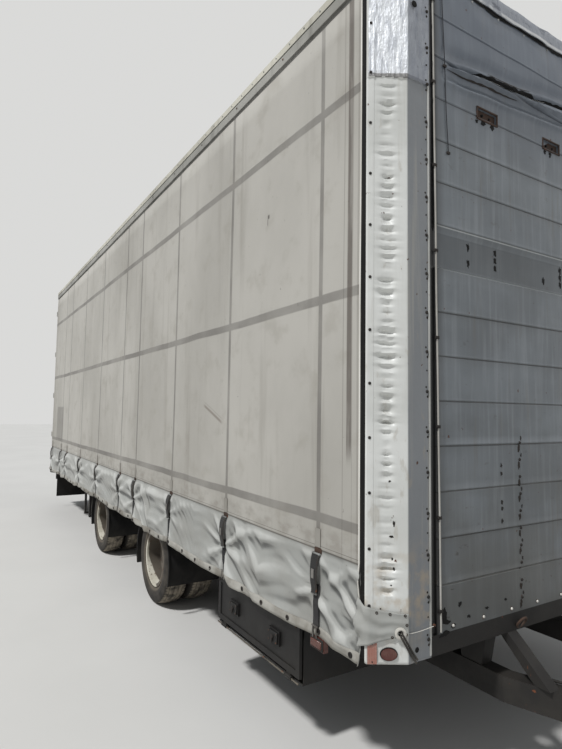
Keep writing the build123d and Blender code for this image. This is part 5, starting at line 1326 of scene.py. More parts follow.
def wall_fittings():
    shape = Shape()

    def stud(y, z, radius, height, look):
        place = axis_place((front_x + wall_relief(y, z) - 0.0005, y, z), (1, 0, 0))
        shape.stud(place, radius, height, look, 0.6, 0.3, 0.001)

    def scar(y, z, width, height, seed, look):
        place = upright((front_x + wall_relief(y, z) - 0.0008, y, z), (1, 0, 0))
        shape.blotch(place, width, height, 0.0025, seed, look)

    for index, (y, z, width, height) in enumerate(wall_scars):
        scar(y, z, width, height, index + 60, shadow_black)
    for mirror in (1, -1):
        for index, z in enumerate(spread(0.79, 1.56, 0.0856)):
            stud(mirror * bolt_column + 0.004 * wave(index * 1.9, mirror), z, 0.0085, 0.006, dark_bolt)
            scar(mirror * bolt_column - 0.008, z - 0.028, 0.016, 0.034, index, rust_patch)
            if index % 3 != 1:
                scar(mirror * bolt_column + 0.010, z + 0.022, 0.010, 0.018, index + 20, dark_bolt)
        for index, z in enumerate((1.18, 1.24, 1.27, 1.41, 1.45)):
            scar(mirror * (bolt_column - 0.15), z, 0.014, 0.020, index + 40, dark_bolt)
        for index, y in enumerate(hole_columns):
            for z in (recess_low + 0.06, recess_low + 0.10, recess_low + 0.14):
                if wave(index * 3.7, z * 9.0, mirror) > -0.3:
                    middle = Vector((front_x - recess_depth - 0.001, mirror * y, z + 0.012 * wave(index, z)))
                    shape.blotch(upright(middle, (1, 0, 0)), 0.020, 0.036, 0.0025, index + z, shadow_black)
    for y in spread(-0.845, 0.845, 0.2):
        stud(y, wall_bottom + 0.022, 0.011, 0.002, rusty_metal)
        stud(y, wall_bottom + 0.022, 0.0075, 0.007, rod_white)
    for place in pocket_places:
        floor_x = front_x - pocket_depth - 0.001
        low = Vector((floor_x - 0.001, place - pocket_half[0] + 0.001, pocket_z - pocket_half[1] + 0.001))
        high = Vector((floor_x + 0.002, place + pocket_half[0] - 0.001, pocket_z + pocket_half[1] - 0.001))
        shape.box(low, high, rusty_metal, 0.0005)
        for end in (-1, 1):
            y = place + end * (pocket_half[0] + 0.004)
            shape.box(
                (front_x - 0.003, y - 0.004, pocket_z - pocket_half[1] - 0.007),
                (front_x + 0.004, y + 0.004, pocket_z + pocket_half[1] + 0.007),
                rusty_metal,
                0.001,
            )
            z = pocket_z + end * (pocket_half[1] + 0.004)
            shape.box(
                (front_x - 0.003, place - pocket_half[0] - 0.007, z - 0.004),
                (front_x + 0.004, place + pocket_half[0] + 0.007, z + 0.004),
                rusty_metal,
                0.001,
            )
        for shift, reach in ((-0.03, 0.009), (0.03, 0.006)):
            end_x = floor_x + reach
            shape.rod(
                (floor_x, place + shift, pocket_z), (end_x, place + shift, pocket_z), 0.007, shadow_black, 12
            )
    for side in (-1, 1):
        y = side * groove_middle
        points = []
        for z in spread(wall_bottom + 0.01, wall_top - 0.02, 0.1):
            lean = conduit_lean * (wall_top - z) / (wall_top - wall_bottom)
            points.append(Vector((front_x + 0.005, y - side * lean + 0.002 * wave(z * 2.0, side), z)))
        shape.tube(points, 0.0042, conduit_grey, 10)
        for index, z in enumerate(spread(wall_bottom + 0.1, wall_top - 0.15, 0.41)):
            lean = conduit_lean * (wall_top - z) / (wall_top - wall_bottom)
            clip_y = y - side * lean
            shape.box(
                (front_x, clip_y - 0.012, z - 0.008),
                (front_x + 0.010, clip_y + 0.012, z + 0.008),
                dark_bolt,
                0.002,
            )
    for y in spread(-0.88, 0.88, 0.22):
        stud(y, wall_top - 0.022, 0.007, 0.005, bare_metal)

    def shading_strip(start, end, centre, half, look, lift=0.003):
        """A ragged strip on the wall, from y start to y end, as high as half(y) each way; the header's
        painted shadows, shade and highlight are drawn with it.
        """
        verts = []
        for y in spread(start, end, 0.010):
            for edge in (-1.0, -0.5, 0.0, 0.5, 1.0):
                z = centre(y) + edge * half(y) * (1.0 + 0.7 * wave(y * 26.0, edge * 4.0, start))
                verts.append((front_x + wall_relief(y, z) + lift, y, z))
        faces = [(a, d, c, b) for a, b, c, d in grid(len(verts) // 5, 5, ring=False)]
        shape.add(verts, faces, look)

    def tapered(start, end, most):
        return lambda y: most * math.sin(math.pi * clamp((y - start) / (end - start))) ** 0.7 + 0.0006

    # Painted shadow along the cap's lower edge
    shading_strip(
        -0.88,
        0.88,
        lambda y: cap_z - 0.006 + 0.006 * wave(y * 5.0, 3.0),
        lambda y: 0.005 + 0.011 * max(0.0, wave(y * 6.0, 1.0) + 0.3),
        shadow_black,
    )
    # Painted shadow in the torn crease
    shading_strip(-0.66, -0.12, lambda y: header_crease(y) + 0.004, tapered(-0.66, -0.12, 0.021), shadow_black)
    shading_strip(-0.14, 0.34, lambda y: header_crease(y) + 0.002, tapered(-0.14, 0.34, 0.007), shadow_black)
    # A pale strip under the crease: painted highlight on the fold
    shading_strip(-0.62, -0.05, lambda y: header_crease(y) - 0.016, tapered(-0.62, -0.05, 0.0036), trim_grey, 0.006)
    # Dark lines under the ridge and above the crease: painted shade
    shading_strip(-0.86, -0.30, lambda y: header_ridge(y) - 0.020, tapered(-0.86, -0.30, 0.0030), dark_bolt)
    shading_strip(-0.55, -0.18, lambda y: header_crease(y) + 0.030, tapered(-0.55, -0.18, 0.0035), dark_bolt)
    # A thin dark cable down the wall's left side; its dark bluish tone also paints the shadow the cable casts
    # on the wall
    cable = [
        Vector((front_x + 0.004, -0.90 + 0.05 * (wall_top - z) + 0.006 * wave(z * 3.0, 1.0), z))
        for z in spread(wall_top - 0.02, 2.95, 0.06)
    ]
    shape.tube(cable, 0.0022, cable_and_shadow_black, 8)
    for end in (cable[0], cable[len(cable) // 2], cable[-1]):
        shape.box(end - Vector((0.007, 0.010, 0.006)), end + Vector((0.004, 0.010, 0.006)), dark_bolt, 0.001)
    return shape.build("front_wall_fittings")


def crumpled(node, name, looks, pitch, depth, scale):
    """A copy of a CAD piece cut into small faces and pushed about, as thin dented sheet."""
    low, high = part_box(node)
    work = bmesh.new()
    work.from_mesh(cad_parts[node].data)
    bmesh.ops.remove_doubles(work, verts=work.verts, dist=1e-5)
    bmesh.ops.dissolve_limit(work, angle_limit=0.03, verts=work.verts, edges=work.edges)
    for axis in range(3):
        normal = Vector((0, 0, 0))
        normal[axis] = 1
        for cut in spread(low[axis], high[axis], pitch[axis])[1:-1]:
            middle = Vector((0, 0, 0))
            middle[axis] = cut
            everything = work.verts[:] + work.edges[:] + work.faces[:]
            bmesh.ops.bisect_plane(work, geom=everything, plane_co=middle, plane_no=normal)
    for vert in work.verts:
        x, y, z = vert.co * scale
        push = Vector((wave(x, y, z + 3.0), wave(x + 5.0, y, z), 0.8 * wave(x, y + 9.0, z)))
        fine = Vector((wave(3 * x, 3 * y, 3 * z), wave(3 * x, 3 * y, 3 * z + 7.0), 0.0))
        vert.co += depth * (push + 0.35 * fine)
    mesh = bpy.data.meshes.new(name)
    work.to_mesh(mesh)
    work.free()
    for look in looks:
        mesh.materials.append(look)
    mesh.set_sharp_from_angle(angle=math.radians(50))
    return into_scene(name, mesh, "root", [node])


# Tyres with a worn tread, on every wheel and on the spare

tyre_low, tyre_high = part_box("tyres_front_right")
tyre_radius = (tyre_high.z - tyre_low.z) / 2
axle_x = {name: sum(v.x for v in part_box(f"tyres_{name}_right")) / 2 for name in ("front", "rear")}
axle_z = tyre_low.z + tyre_radius
twin_middle = -(tyre_low.y + tyre_high.y) / 2
tyre_width = 0.205
twin_half = (tyre_high.y - tyre_low.y - tyre_width) / 2
tread_half = 0.086
tread_grooves = (-0.056, -0.019, 0.019, 0.056)
groove_half_width = 0.0038
rim_half_width = 0.086
groove_depth = 0.007
block_count = 64


def tyre_profile():
    """(radius, place across, kind) from one bead over the tread to the other; kind marks the tread."""
    wall = [
        (0.224, -0.070, ""),
        (0.2435, -0.0765, ""),
        (0.2455, -0.0800, ""),
        (0.252, -0.0850, ""),
        (0.258, -0.0905, ""),
        (0.262, -0.0912, ""),
        (0.290, -0.0985, ""),
        (0.312, -0.1015, ""),
        (0.315, -0.1022, ""),
        (0.318, -0.1017, ""),
        (0.345, -0.0985, ""),
        (0.358, -0.0955, ""),
        (0.366, -0.0915, "edge"),
        (0.3725, -0.0865, "block"),
    ]
    crown = []
    for place in tread_grooves:
        foot = groove_half_width - 0.0008
        for shift, drop in ((-groove_half_width, 0), (-foot, 1), (foot, 1), (groove_half_width, 0)):
            y = place + shift
            radius = tyre_radius - 0.0095 * (y / tread_half) ** 2
            crown.append((radius - drop * groove_depth, y, "groove" if drop else "block"))
    return wall + crown + [(r, -y, k) for r, y, k in reversed(wall)]


def add_tyre(shape, center, look, turn=0.0):
    """One tyre about center, whose axis is local Z; the shoulder blocks are cut all round."""
    profile = tyre_profile()
    segments = block_count * 3
    verts = []
    for radius, across, kind in profile:
        for k in range(segments):
            angle = 2 * math.pi * k / segments + turn
            cut = k % 3 == 0
            out = radius
            if kind == "block" and cut and abs(across) > 0.05:
                out -= 0.0055
            if kind == "edge" and cut:
                out -= 0.004
            verts.append(center @ Vector((out * math.cos(angle), out * math.sin(angle), across)))
    shape.add(verts, grid(len(profile), segments, closed=True), look)


def wheel_place(axle, side, twin=0):
    """The hub's place with its axis pointing outward; twin is -1 for the inner and 1 for the outer tyre."""
    return axis_place((axle_x[axle], side * (twin_middle + twin * twin_half), axle_z), (0, side, 0))


def from_axles(look):
    """For each axle, how far a place lies ahead of it, above it and away from it."""
    found = []
    for x in axle_x.values():
        across, up = look.minus(look.x, x), look.minus(look.z, axle_z)
        square = look.plus(look.times(across, across), look.times(up, up))
        found.append((across, up, look.math("SQRT", square)))
    return found


def tyre_look():
    look = Look("tyre_rubber", 0.82, specular=0.25)
    reach = look.least(*[distance for across, up, distance in from_axles(look)])
    cloud = look.patches(0.32, 0.68, 6.0, 6)
    look.shade = look.mix(look.times(cloud, 0.75), (46, 44, 42), (86, 81, 74))
    tread = look.near(reach, tyre_radius, 0.012, 0.004)
    dusty = look.patches(0.3, 0.62, 16.0, 5, shift=5.0)
    look.tint(look.times(tread, look.times(dusty, 0.85)), 1, (146, 137, 122))
    bead = look.near(reach, 0.262, 0.010, 0.012)
    look.tint(bead, 0.45, (128, 118, 104))
    return look.done(None, look.plus(look.noise(150.0, 4), look.noise(30.0, 4)), 0.3, 0.0008)


tyre_look_material = tyre_look()


def tyres():
    for axle in axle_x:
        for side_name, side in sides.items():
            shape = Shape()
            for twin in (-1, 1):
                add_tyre(shape, wheel_place(axle, side, twin), tyre_look_material, 0.3 * twin)
            name = f"tyres_{axle}_{side_name}"
            piece = shape.build(f"{name}_tread", f"wheel_set_{axle}_{side_name}", [name])
    spare_low, spare_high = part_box("spare_tyre")
    middle = (spare_low + spare_high) / 2
    shape = Shape()
    add_tyre(shape, axis_place(middle, (0, 0, 1)), tyre_look_material)
    shape.build("spare_tyre_tread", "root", ["spare_tyre"])


def wheel_paint_look():
    """Rims painted dark brown for the shade in their deep dish, but for a crescent of cream paint low on the
    outer edge, where light falls.
    """
    look = Look("wheel_paint", 0.6, specular=0.35)
    depth = look.minus(twin_middle + twin_half + rim_half_width, look.size(look.y))
    depth = look.plus(depth, look.times(look.minus(look.noise(14.0, 5), 0.5), 0.03))
    wheels = from_axles(look)
    crescents = []
    for across, up, distance in wheels:
        low = look.minus(look.times(across, -1.0), look.times(up, 0.8))
        edge = look.plus(depth, look.times(look.least(up, 0.0), 0.22))
        crescent = look.times(look.step(edge, 0.022, 0.012), look.step(low, 0.08, 0.13))
        crescent = look.times(crescent, look.step(distance, 0.32, 0.30))
        crescents.append(crescent)
    lit_crescent = look.most(*crescents)
    reach = look.least(*[distance for across, up, distance in wheels])
    cloud = look.cloud((216, 212, 198), (184, 178, 162), 0.35, 0.66, 5.0, 6)
    ragged = look.plus(reach, look.times(look.minus(look.noise(16.0, 6), 0.5), 0.02))
    brown = look.mix(cloud, (82, 73, 63), (64, 57, 50))
    # Painted shade: dark brown over the rim save the lit crescent
    dusty = look.times(look.step(ragged, 0.268, 0.252), look.minus(1.0, lit_crescent))
    look.tint(dusty, 0.92, brown)
    look.tint(look.step(ragged, 0.112, 0.096), 1, (50, 42, 37))
    drum = look.step(look.size(look.y), twin_middle - 0.045, twin_middle - 0.06)
    look.tint(look.times(drum, look.step(reach, 0.2, 0.19)), 1, (78, 56, 42))
    spots = look.patches(0.60, 0.67, 40.0, 6, shift=11.0)
    look.tint(spots, 0.6, (88, 58, 42))
    return look.done(
        look.vary(0.45, 0.35, 15.0, 4), look.plus(look.noise(60.0, 5), look.times(spots, 0.7)), 0.3, 0.0012
    )


wheel_paint = wheel_paint_look()
stud_count = 10
stud_circle = 0.1125
disc_face = 0.012
hub_face = 0.124


def wheel_fittings():
    """Wheel nuts on their studs, the hub cap's screws and a valve in each pair of wheels."""
    for axle in axle_x:
        for side_name, side in sides.items():
            shape = Shape()
            hub = wheel_place(axle, side)
            for x, y in circle(stud_circle, stud_count, 0.5):
                spot = Vector((x, y, disc_face - 0.001))
                nut = circle(0.0165, 6)
                shape.lathe(
                    [(0, 0), (0.022, 0), (0.022, 0.004), (0, 0.004)],
                    rusty_metal,
                    hub @ Matrix.Translation(spot),
                    14,
                )
                shape.prism(nut, 0.024, rusty_metal, hub @ Matrix.Translation(spot + Vector((0, 0, 0.004))))
                shape.lathe(
                    [(0, 0), (0.0105, 0), (0.0105, 0.010), (0.009, 0.012), (0, 0.012)],
                    bare_metal,
                    hub @ Matrix.Translation(spot + Vector((0, 0, 0.027))),
                    12,
                )
            cap = [(0, 0), (0.055, 0), (0.055, 0.003), (0.050, 0.007), (0.020, 0.0085), (0, 0.009)]
            shape.lathe(cap, hub_brown, hub @ Matrix.Translation((0, 0, hub_face - 0.001)), 32)
            for x, y in circle(0.079, 6):
                shape.prism(circle(0.0085, 6), 0.007, rusty_metal, hub @ Matrix.Translation((x, y, 0.0955)))
            valve = [
                hub @ Vector((0.150 + 0.028 * s, 0.03, 0.016 + 0.055 * s)) for s in (0.0, 0.2, 0.5, 0.8, 1.0)
            ]
            shape.tube(valve, 0.0035, bare_metal, 8)
            shape.rod(valve[-2], valve[-1] + (valve[-1] - valve[-2]) * 0.6, 0.0055, black_rubber, 10)
            for twin in (1, -1):
                lip = twin * (twin_half + rim_half_width)
                weight = hub @ Matrix.Rotation(0.9 * twin, 4, "Z")
                turns = [Matrix.Rotation(0.05 * (k - 2), 4, "Z") for k in range(5)]
                block = [weight @ turn @ Vector((0.2395, 0, lip + 0.002 * twin)) for turn in turns]
                shape.tube(block, 0.0042, grey_steel, 8)
            shape.build(f"wheel_{axle}_{side_name}_fittings", f"wheel_set_{axle}_{side_name}")


# Roof rails: a pale cover strip, rivets along the top strip and a line in the groove

rail_top = rail_high.z
top_strip_height = 0.042
groove_height = 0.010
cover_height = 0.056


def roof_trim():
    shape = Shape()
    for side in sides.values():
        face = side * half_width
        cover_top = rail_top - top_strip_height - groove_height
        points = [
            Vector((x, face + side * 0.0012 * wave(x * 2.0, side), cover_top - cover_height / 2))
            for x in spread(rail_high.x - 0.004, rail_low.x + 0.006, 0.12)
        ]
        shape.ribbon(points, (0, 0, cover_height / 2 - 0.001), 0.003, rail_grey)
        points = [
            Vector((x, face + side * 0.0012 * wave(x * 1.7, side, 4.0), rail_top - top_strip_height / 2))
            for x in spread(rail_high.x - 0.004, rail_low.x + 0.006, 0.12)
        ]
        shape.ribbon(points, (0, 0, top_strip_height / 2 - 0.001), 0.003, rail_cream)
        line = [
            Vector((x, face - side * 0.005, rail_top - top_strip_height - groove_height / 2))
            for x in spread(rail_high.x - 0.01, rail_low.x + 0.01, 0.3)
        ]
        shape.tube(line, 0.0025, rod_white, 6)
        for x in spread(rail_high.x - 0.05, rail_low.x + 0.05, 0.15):
            shape.rod(
                (x, face, rail_top - 0.020),
                (x, face + side * 0.0045, rail_top - 0.020),
                0.0055,
                bare_metal,
                8,
            )
        for x in spread(rail_high.x - 0.12, rail_low.x + 0.12, 0.6):
            shape.rod(
                (x, face, cover_top - 0.020),
                (x, face + side * 0.0045, cover_top - 0.020),
                0.006,
                rusty_metal,
                8,
            )
    return shape.build("roof_rail_trim")


# Roof sheet: lengthwise panels joined by flat seams, with rivets, and patches of dirt


def roof_look():
    look = Look("roof_sheet", 0.45, 0.35)
    look.cloud((196, 196, 190), (164, 163, 156), 0.35, 0.68, 0.8, 6)
    pool = look.patches(0.52, 0.74, 1.9, 6, (0.7, 1.3, 1.0), shift=6.0)
    look.tint(pool, 0.5, (122, 114, 100))
    spots = look.patches(0.68, 0.73, 24.0, 6, shift=13.0)
    look.tint(spots, 0.7, rust_light)
    return look.done(
        look.vary(0.35, 0.35, 7.0, 4),
        look.plus(look.noise(5.0, 4), look.times(look.noise(60.0, 4), 0.2)),
        0.2,
        0.006,
    )


roof_sheet = roof_look()


def roof_seams():
    shape = Shape()
    crown = roof_high.z - rail_top

    def height(y):
        reach = roof_high.y
        return rail_top + 0.012 + (crown - 0.012) * (1 - (y / reach) ** 2)

    for x in spread(roof_high.x - 0.55, roof_low.x + 0.55, 1.22):
        points = [
            Vector((x, y, height(y) + 0.001)) for y in spread(-roof_high.y + 0.01, roof_high.y - 0.01, 0.12)
        ]
        shape.ribbon(points, (0.022, 0, 0), 0.003, roof_sheet)
        for y in spread(-roof_high.y + 0.05, roof_high.y - 0.05, 0.13):
            for shift in (-0.012, 0.012):
                shape.pin((x + shift, y, height(y)), "z", 0, 0.0055, 0.005, bare_metal, 6)
    for side in sides.values():
        points = [
            Vector((x, side * (roof_high.y - 0.03), height(roof_high.y - 0.03) + 0.0015))
            for x in spread(roof_high.x - 0.02, roof_low.x + 0.02, 0.3)
        ]
        shape.ribbon(points, (0, 0.018, 0), 0.003, rail_grey)
    return shape.build("roof_seams")


# Rear doors: seals, rivets, rod guides' bolts, handles and holders

rods_low, rods_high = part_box("lock_rods_right")
door_bottom, door_top = rods_low.z + 0.07, rods_high.z - 0.07
post_back_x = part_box("rear_posts")[0].x + 0.045
door_face_x = post_back_x + 0.026
rod_radius = 0.0135
rod_x = rods_low.x + rod_radius
door_outer = half_width - 0.025 - 0.060 - 0.008
door_inner = 0.010
rod_places = [door_inner + share * (door_outer - door_inner) for share in (0.27, 0.74)]
rod_bracket_heights = [floor_z + rise for rise in (0.370, 1.340, 2.200)]
handle_top = floor_z + 0.520 + 0.420
door_frame = 0.070
door_rail_z = floor_z + 1.170


def door_seals(side_name):
    """Black rubber lips round the door's edge, and the bead that closes on the other door."""
    side = sides[side_name]
    shape = Shape()
    outer, inner = side * (door_outer - 0.010), side * (door_inner + 0.006)
    lip = 0.006
    x = door_face_x - 0.001
    for y in (outer, inner):
        shape.box(
            (x - 0.004, y - lip, door_bottom + 0.002),
            (x + 0.002, y + lip, door_top - 0.002),
            seal_rubber,
            0.002,
        )
    for z in (door_bottom + 0.009, door_top - 0.009):
        shape.box(
            (x - 0.004, min(outer, inner), z - lip),
            (x + 0.002, max(outer, inner), z + lip),
            seal_rubber,
            0.002,
        )
    for panel_low, panel_high in (
        (door_bottom + door_frame, door_rail_z - door_frame / 2),
        (door_rail_z + door_frame / 2, door_top - door_frame),
    ):
        low_y, high_y = sorted((side * (door_outer - door_frame), side * (door_inner + door_frame)))
        for z in spread(panel_low - 0.018, panel_high + 0.018, 0.16):
            for y in (low_y - 0.018, high_y + 0.018):
                shape.pin((door_face_x, y, z), "x", 0.001, -0.004, 0.006, bare_metal, 8)
        for y in spread(low_y + 0.06, high_y - 0.06, 0.16):
            for z in (panel_low - 0.018, panel_high + 0.018):
                shape.pin((door_face_x, y, z), "x", 0.001, -0.004, 0.006, bare_metal, 8)
    for rise in (0.220, 0.920, 1.670, 2.420):
        for reach in (0.075, 0.105):
            y = side * (half_width - 0.0105 - reach)
            for shift in (-0.017, 0.017):
                z = floor_z + rise + shift
                shape.pin((door_face_x, y, z), "x", -0.016, -0.023, 0.0075, rusty_metal, 6)
    plate_y = side * 0.62
    if side > 0:
        shape.box(
            (door_face_x + 0.001, plate_y - 0.13, door_bottom + 0.86),
            (door_face_x - 0.004, plate_y + 0.13, door_bottom + 0.98),
            plate_blank,
            0.001,
        )
    return shape.build(f"rear_door_{side_name}_seals", f"door_{side_name}")


def rod_fittings(side_name):
    """Bolts on the rod guides and cams, and the handles' grips, pivots and catches."""
    side = sides[side_name]
    shape = Shape()
    for place in rod_places:
        y = side * place
        for z in rod_bracket_heights:
            shape.box(
                (rod_x - 0.017, y - 0.022, z - 0.024),
                (rod_x + 0.004, y + 0.022, z + 0.024),
                grey_steel,
                0.004,
            )
            for dy in (-0.028, 0.028):
                for dz in (-0.020, 0.020):
                    shape.pin((rod_x, y + dy, z + dz), "x", 0.002, -0.006, 0.0055, rusty_metal, 6)
        grip = [Vector((rod_x - 0.004, y, z)) for z in spread(handle_top - 0.35, handle_top - 0.02, 0.05)]
        for k, point in enumerate(grip):
            point.x -= 0.003 * math.sin(math.pi * k / (len(grip) - 1))
        shape.tube(grip, 0.010, grey_steel, 10)
        shape.pin((rod_x - 0.010, y, handle_top), "y", -0.024, 0.024, 0.007, bare_metal, 10)
        catch = floor_z + 0.520 + 0.050
        shape.box(
            (rod_x - 0.016, y - 0.030, catch - 0.020),
            (rod_x - 0.004, y - 0.018, catch + 0.020),
            grey_steel,
            0.002,
        )
        shape.box(
            (rod_x - 0.016, y + 0.018, catch - 0.020),
            (rod_x - 0.004, y + 0.030, catch + 0.020),
            grey_steel,
            0.002,
        )
        shape.pin((rod_x - 0.013, y, catch), "y", -0.034, 0.034, 0.004, rusty_metal, 8)
    return shape.build(f"lock_rods_{side_name}_fittings", f"door_{side_name}")


def door_sheet_look():
    look = Look("door_sheet", 0.42, 0.05)
    look.cloud((208, 207, 201), (188, 187, 180), 0.35, 0.68, 1.4, 6)
    run = look.patches(0.5, 0.74, 10.0, 6, (1.6, 1.6, 0.1), shift=3.0)
    look.tint(run, 0.4, (148, 140, 128))
    spray = look.times(
        look.step(look.z, floor_z + 1.5, floor_z - 0.1), look.patches(0.3, 0.66, 4.0, 6, shift=7.0)
    )
    look.tint(spray, 0.5, (138, 126, 110))
    spots = look.patches(0.68, 0.73, 26.0, 6, shift=11.0)
    look.tint(spots, 1, rust_dark)
    return look.done(
        look.vary(0.32, 0.3, 9.0, 4),
        look.plus(look.times(look.noise(4.0, 4), 2.0), look.noise(60.0, 5)),
        0.25,
        0.002,
    )


door_sheet = door_sheet_look()

# Rear end: lamp lenses, bumper bolts, reflectors and a blank number plate holder

lamp_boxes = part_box("tail_lamps")
guard_low_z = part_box("underrun_guard")[0].z


def tail_end():
    shape = Shape()
    lens_x = lamp_boxes[0].x
    lamp_z = (lamp_boxes[0].z + lamp_boxes[1].z) / 2
    lamp_outer = lamp_boxes[1].y
    for side in sides.values():
        middle = side * (lamp_outer - 0.20)
        for index, look in ((-1, amber_lamp), (0, red_lamp), (1, red_lamp)):
            y = middle - side * index * 0.1333
            shape.box(
                (lens_x - 0.006, y - 0.054, lamp_z - 0.044),
                (lens_x + 0.004, y + 0.054, lamp_z + 0.044),
                look,
                0.004,
            )
            for dy in (-0.048, 0.048):
                shape.pin((lens_x, y + dy, lamp_z - 0.038), "x", -0.0055, -0.008, 0.0035, bare_metal, 8)
        shape.box(
            (lens_x - 0.003, middle - 0.205, lamp_z - 0.062),
            (lens_x + 0.02, middle + 0.205, lamp_z - 0.052),
            black_rubber,
            0.002,
        )
        for dz in (-0.03, 0.03):
            shape.pin(
                (rear_beam_x + 0.03, side * beam_y, guard_low_z + 0.25 + dz),
                "y",
                -0.018,
                0.018,
                0.009,
                rusty_metal,
                8,
            )
    guard_z = 0.50
    for y in spread(-1.10, 1.10, 0.44):
        shape.pin((guard_face_x, y, guard_z), "x", 0.002, -0.005, 0.010, rusty_metal, 6)
    shape.box(
        (guard_face_x - 0.012, -0.26, guard_z - 0.055),
        (guard_face_x + 0.002, 0.26, guard_z + 0.055),
        plate_blank,
        0.003,
    )
    for y in (-0.20, 0.20):
        shape.pin((guard_face_x, y, guard_z + 0.035), "x", -0.011, -0.015, 0.006, rusty_metal, 8)
    for side in sides.values():
        y = side * 0.78
        shape.prism(
            [(-0.075, -0.043), (0.075, -0.043), (0.0, 0.087)],
            0.008,
            red_lamp,
            upright((post_back_x + 0.045, y, rear_low_z + 0.075), (-1, 0, 0)),
        )
    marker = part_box("corner_markers")
    for side in sides.values():
        y = side * (marker[1].y - 0.027)
        z = marker[1].z - 0.022
        for facing, look in ((-1, red_lamp), (1, plate_blank)):
            face_x = marker[0].x if facing < 0 else marker[1].x
            shape.rod((face_x - facing * 0.002, y, z), (face_x + facing * 0.008, y, z), 0.019, look, 20)
    return shape.build("rear_end_fittings")


rear_low_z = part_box("rear_sill")[0].z
rear_beam_x = post_back_x + 0.100
guard_face_x = rear_beam_x - 0.060

# Storage box: latch levers, padlock staples, bolts along its top and a pale, rust-spotted strip along its
# lower rail


def box_fittings():
    shape = Shape()
    door_low, door_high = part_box("tool_box_door")
    face = door_low.y
    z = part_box("tool_box")[0].z + (0.030 + 0.298) / 2
    for place in (0.860, 1.340):
        x = behind(place)
        y = face
        shape.box((x - 0.046, y - 0.006, z - 0.030), (x + 0.046, y + 0.002, z + 0.030), box_black, 0.002)
        shape.pin((x, y, z), "y", -0.004, -0.014, 0.012, dark_bolt, 14)
        shape.box((x - 0.007, y - 0.016, z - 0.030), (x + 0.007, y - 0.010, z + 0.004), dark_bolt, 0.002)
        for dx in (-0.038, 0.038):
            for dz in (-0.022, 0.022):
                shape.pin((x + dx, y, z + dz), "y", -0.003, -0.009, 0.004, rusty_metal, 8)
    # A paler strip along the door's lower rail
    shape.box(
        (door_low.x + 0.004, door_low.y + 0.0065, door_low.z + 0.004),
        (door_high.x - 0.004, door_low.y + 0.012, door_low.z + 0.013),
        pale_edge,
        0.001,
    )
    frame_face = door_low.y + 0.008
    for x in spread(door_low.x + 0.03, door_high.x - 0.03, 0.115):
        shape.pin((x, frame_face, door_high.z - 0.017), "y", 0.001, -0.004, 0.005, rusty_metal, 8)
    return shape.build("tool_box_door_fittings", "box_door")


# Drawbar and chassis: brake pipes, air couplings, cable sockets, lashing eyes, tank fittings

arm_top = 0.450


def chassis_lines():
    shape = Shape()
    for side in (-1, 1):
        inner = side * (beam_y - 0.008)
        line_z = beam_low_z + 0.17 + 0.02 * side
        points = [
            Vector((x, inner - side * 0.014, line_z - 0.010 * abs(math.sin(2.1 * x))))
            for x in spread(front_x - 0.35, -4.6, 0.12)
        ]
        shape.tube(points, 0.007 if side > 0 else 0.010, pipe_black, 8)
        for x in spread(front_x - 0.5, -4.4, 0.8):
            shape.box(
                (x - 0.012, min(inner, inner - side * 0.026), line_z - 0.026),
                (x + 0.012, max(inner, inner - side * 0.026), line_z + 0.012),
                grey_steel,
                0.002,
            )
    for axle, x in axle_x.items():
        for side in (-1, 1):
            start = Vector((x - 0.115 - 0.060 - 0.12, side * 0.300, axle_z + 0.052 + 0.088))
            end = Vector((x - 0.34, side * 0.438, beam_low_z + 0.17 + 0.02 * side))
            sag = Vector((0, 0, 0.05))
            points = [start.lerp(end, k / 10) + sag * math.sin(math.pi * k / 10) for k in range(11)]
            shape.tube(points, 0.008, pipe_black, 8)
            shape.rod(start - Vector((0, 0, 0.018)), start + Vector((0, 0, 0.004)), 0.011, brass, 8)
    tank_low, tank_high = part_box("air_tank")
    tank_x = (tank_low.x + tank_high.x) / 2
    tank_radius = (tank_high.x - tank_low.x) / 2
    for y in (tank_low.y + 0.12, tank_high.y - 0.12):
        shape.pin((tank_x, y, tank_low.z), "z", 0.003, -0.018, 0.013, brass, 6)
    for y in (-0.175, 0.175):
        shape.box(
            (tank_x - tank_radius - 0.006, y - 0.021, tank_low.z + tank_radius - 0.02),
            (tank_x - tank_radius + 0.004, y + 0.021, tank_low.z + tank_radius + 0.02),
            rusty_metal,
            0.003,
        )
    return shape.build("chassis_lines")


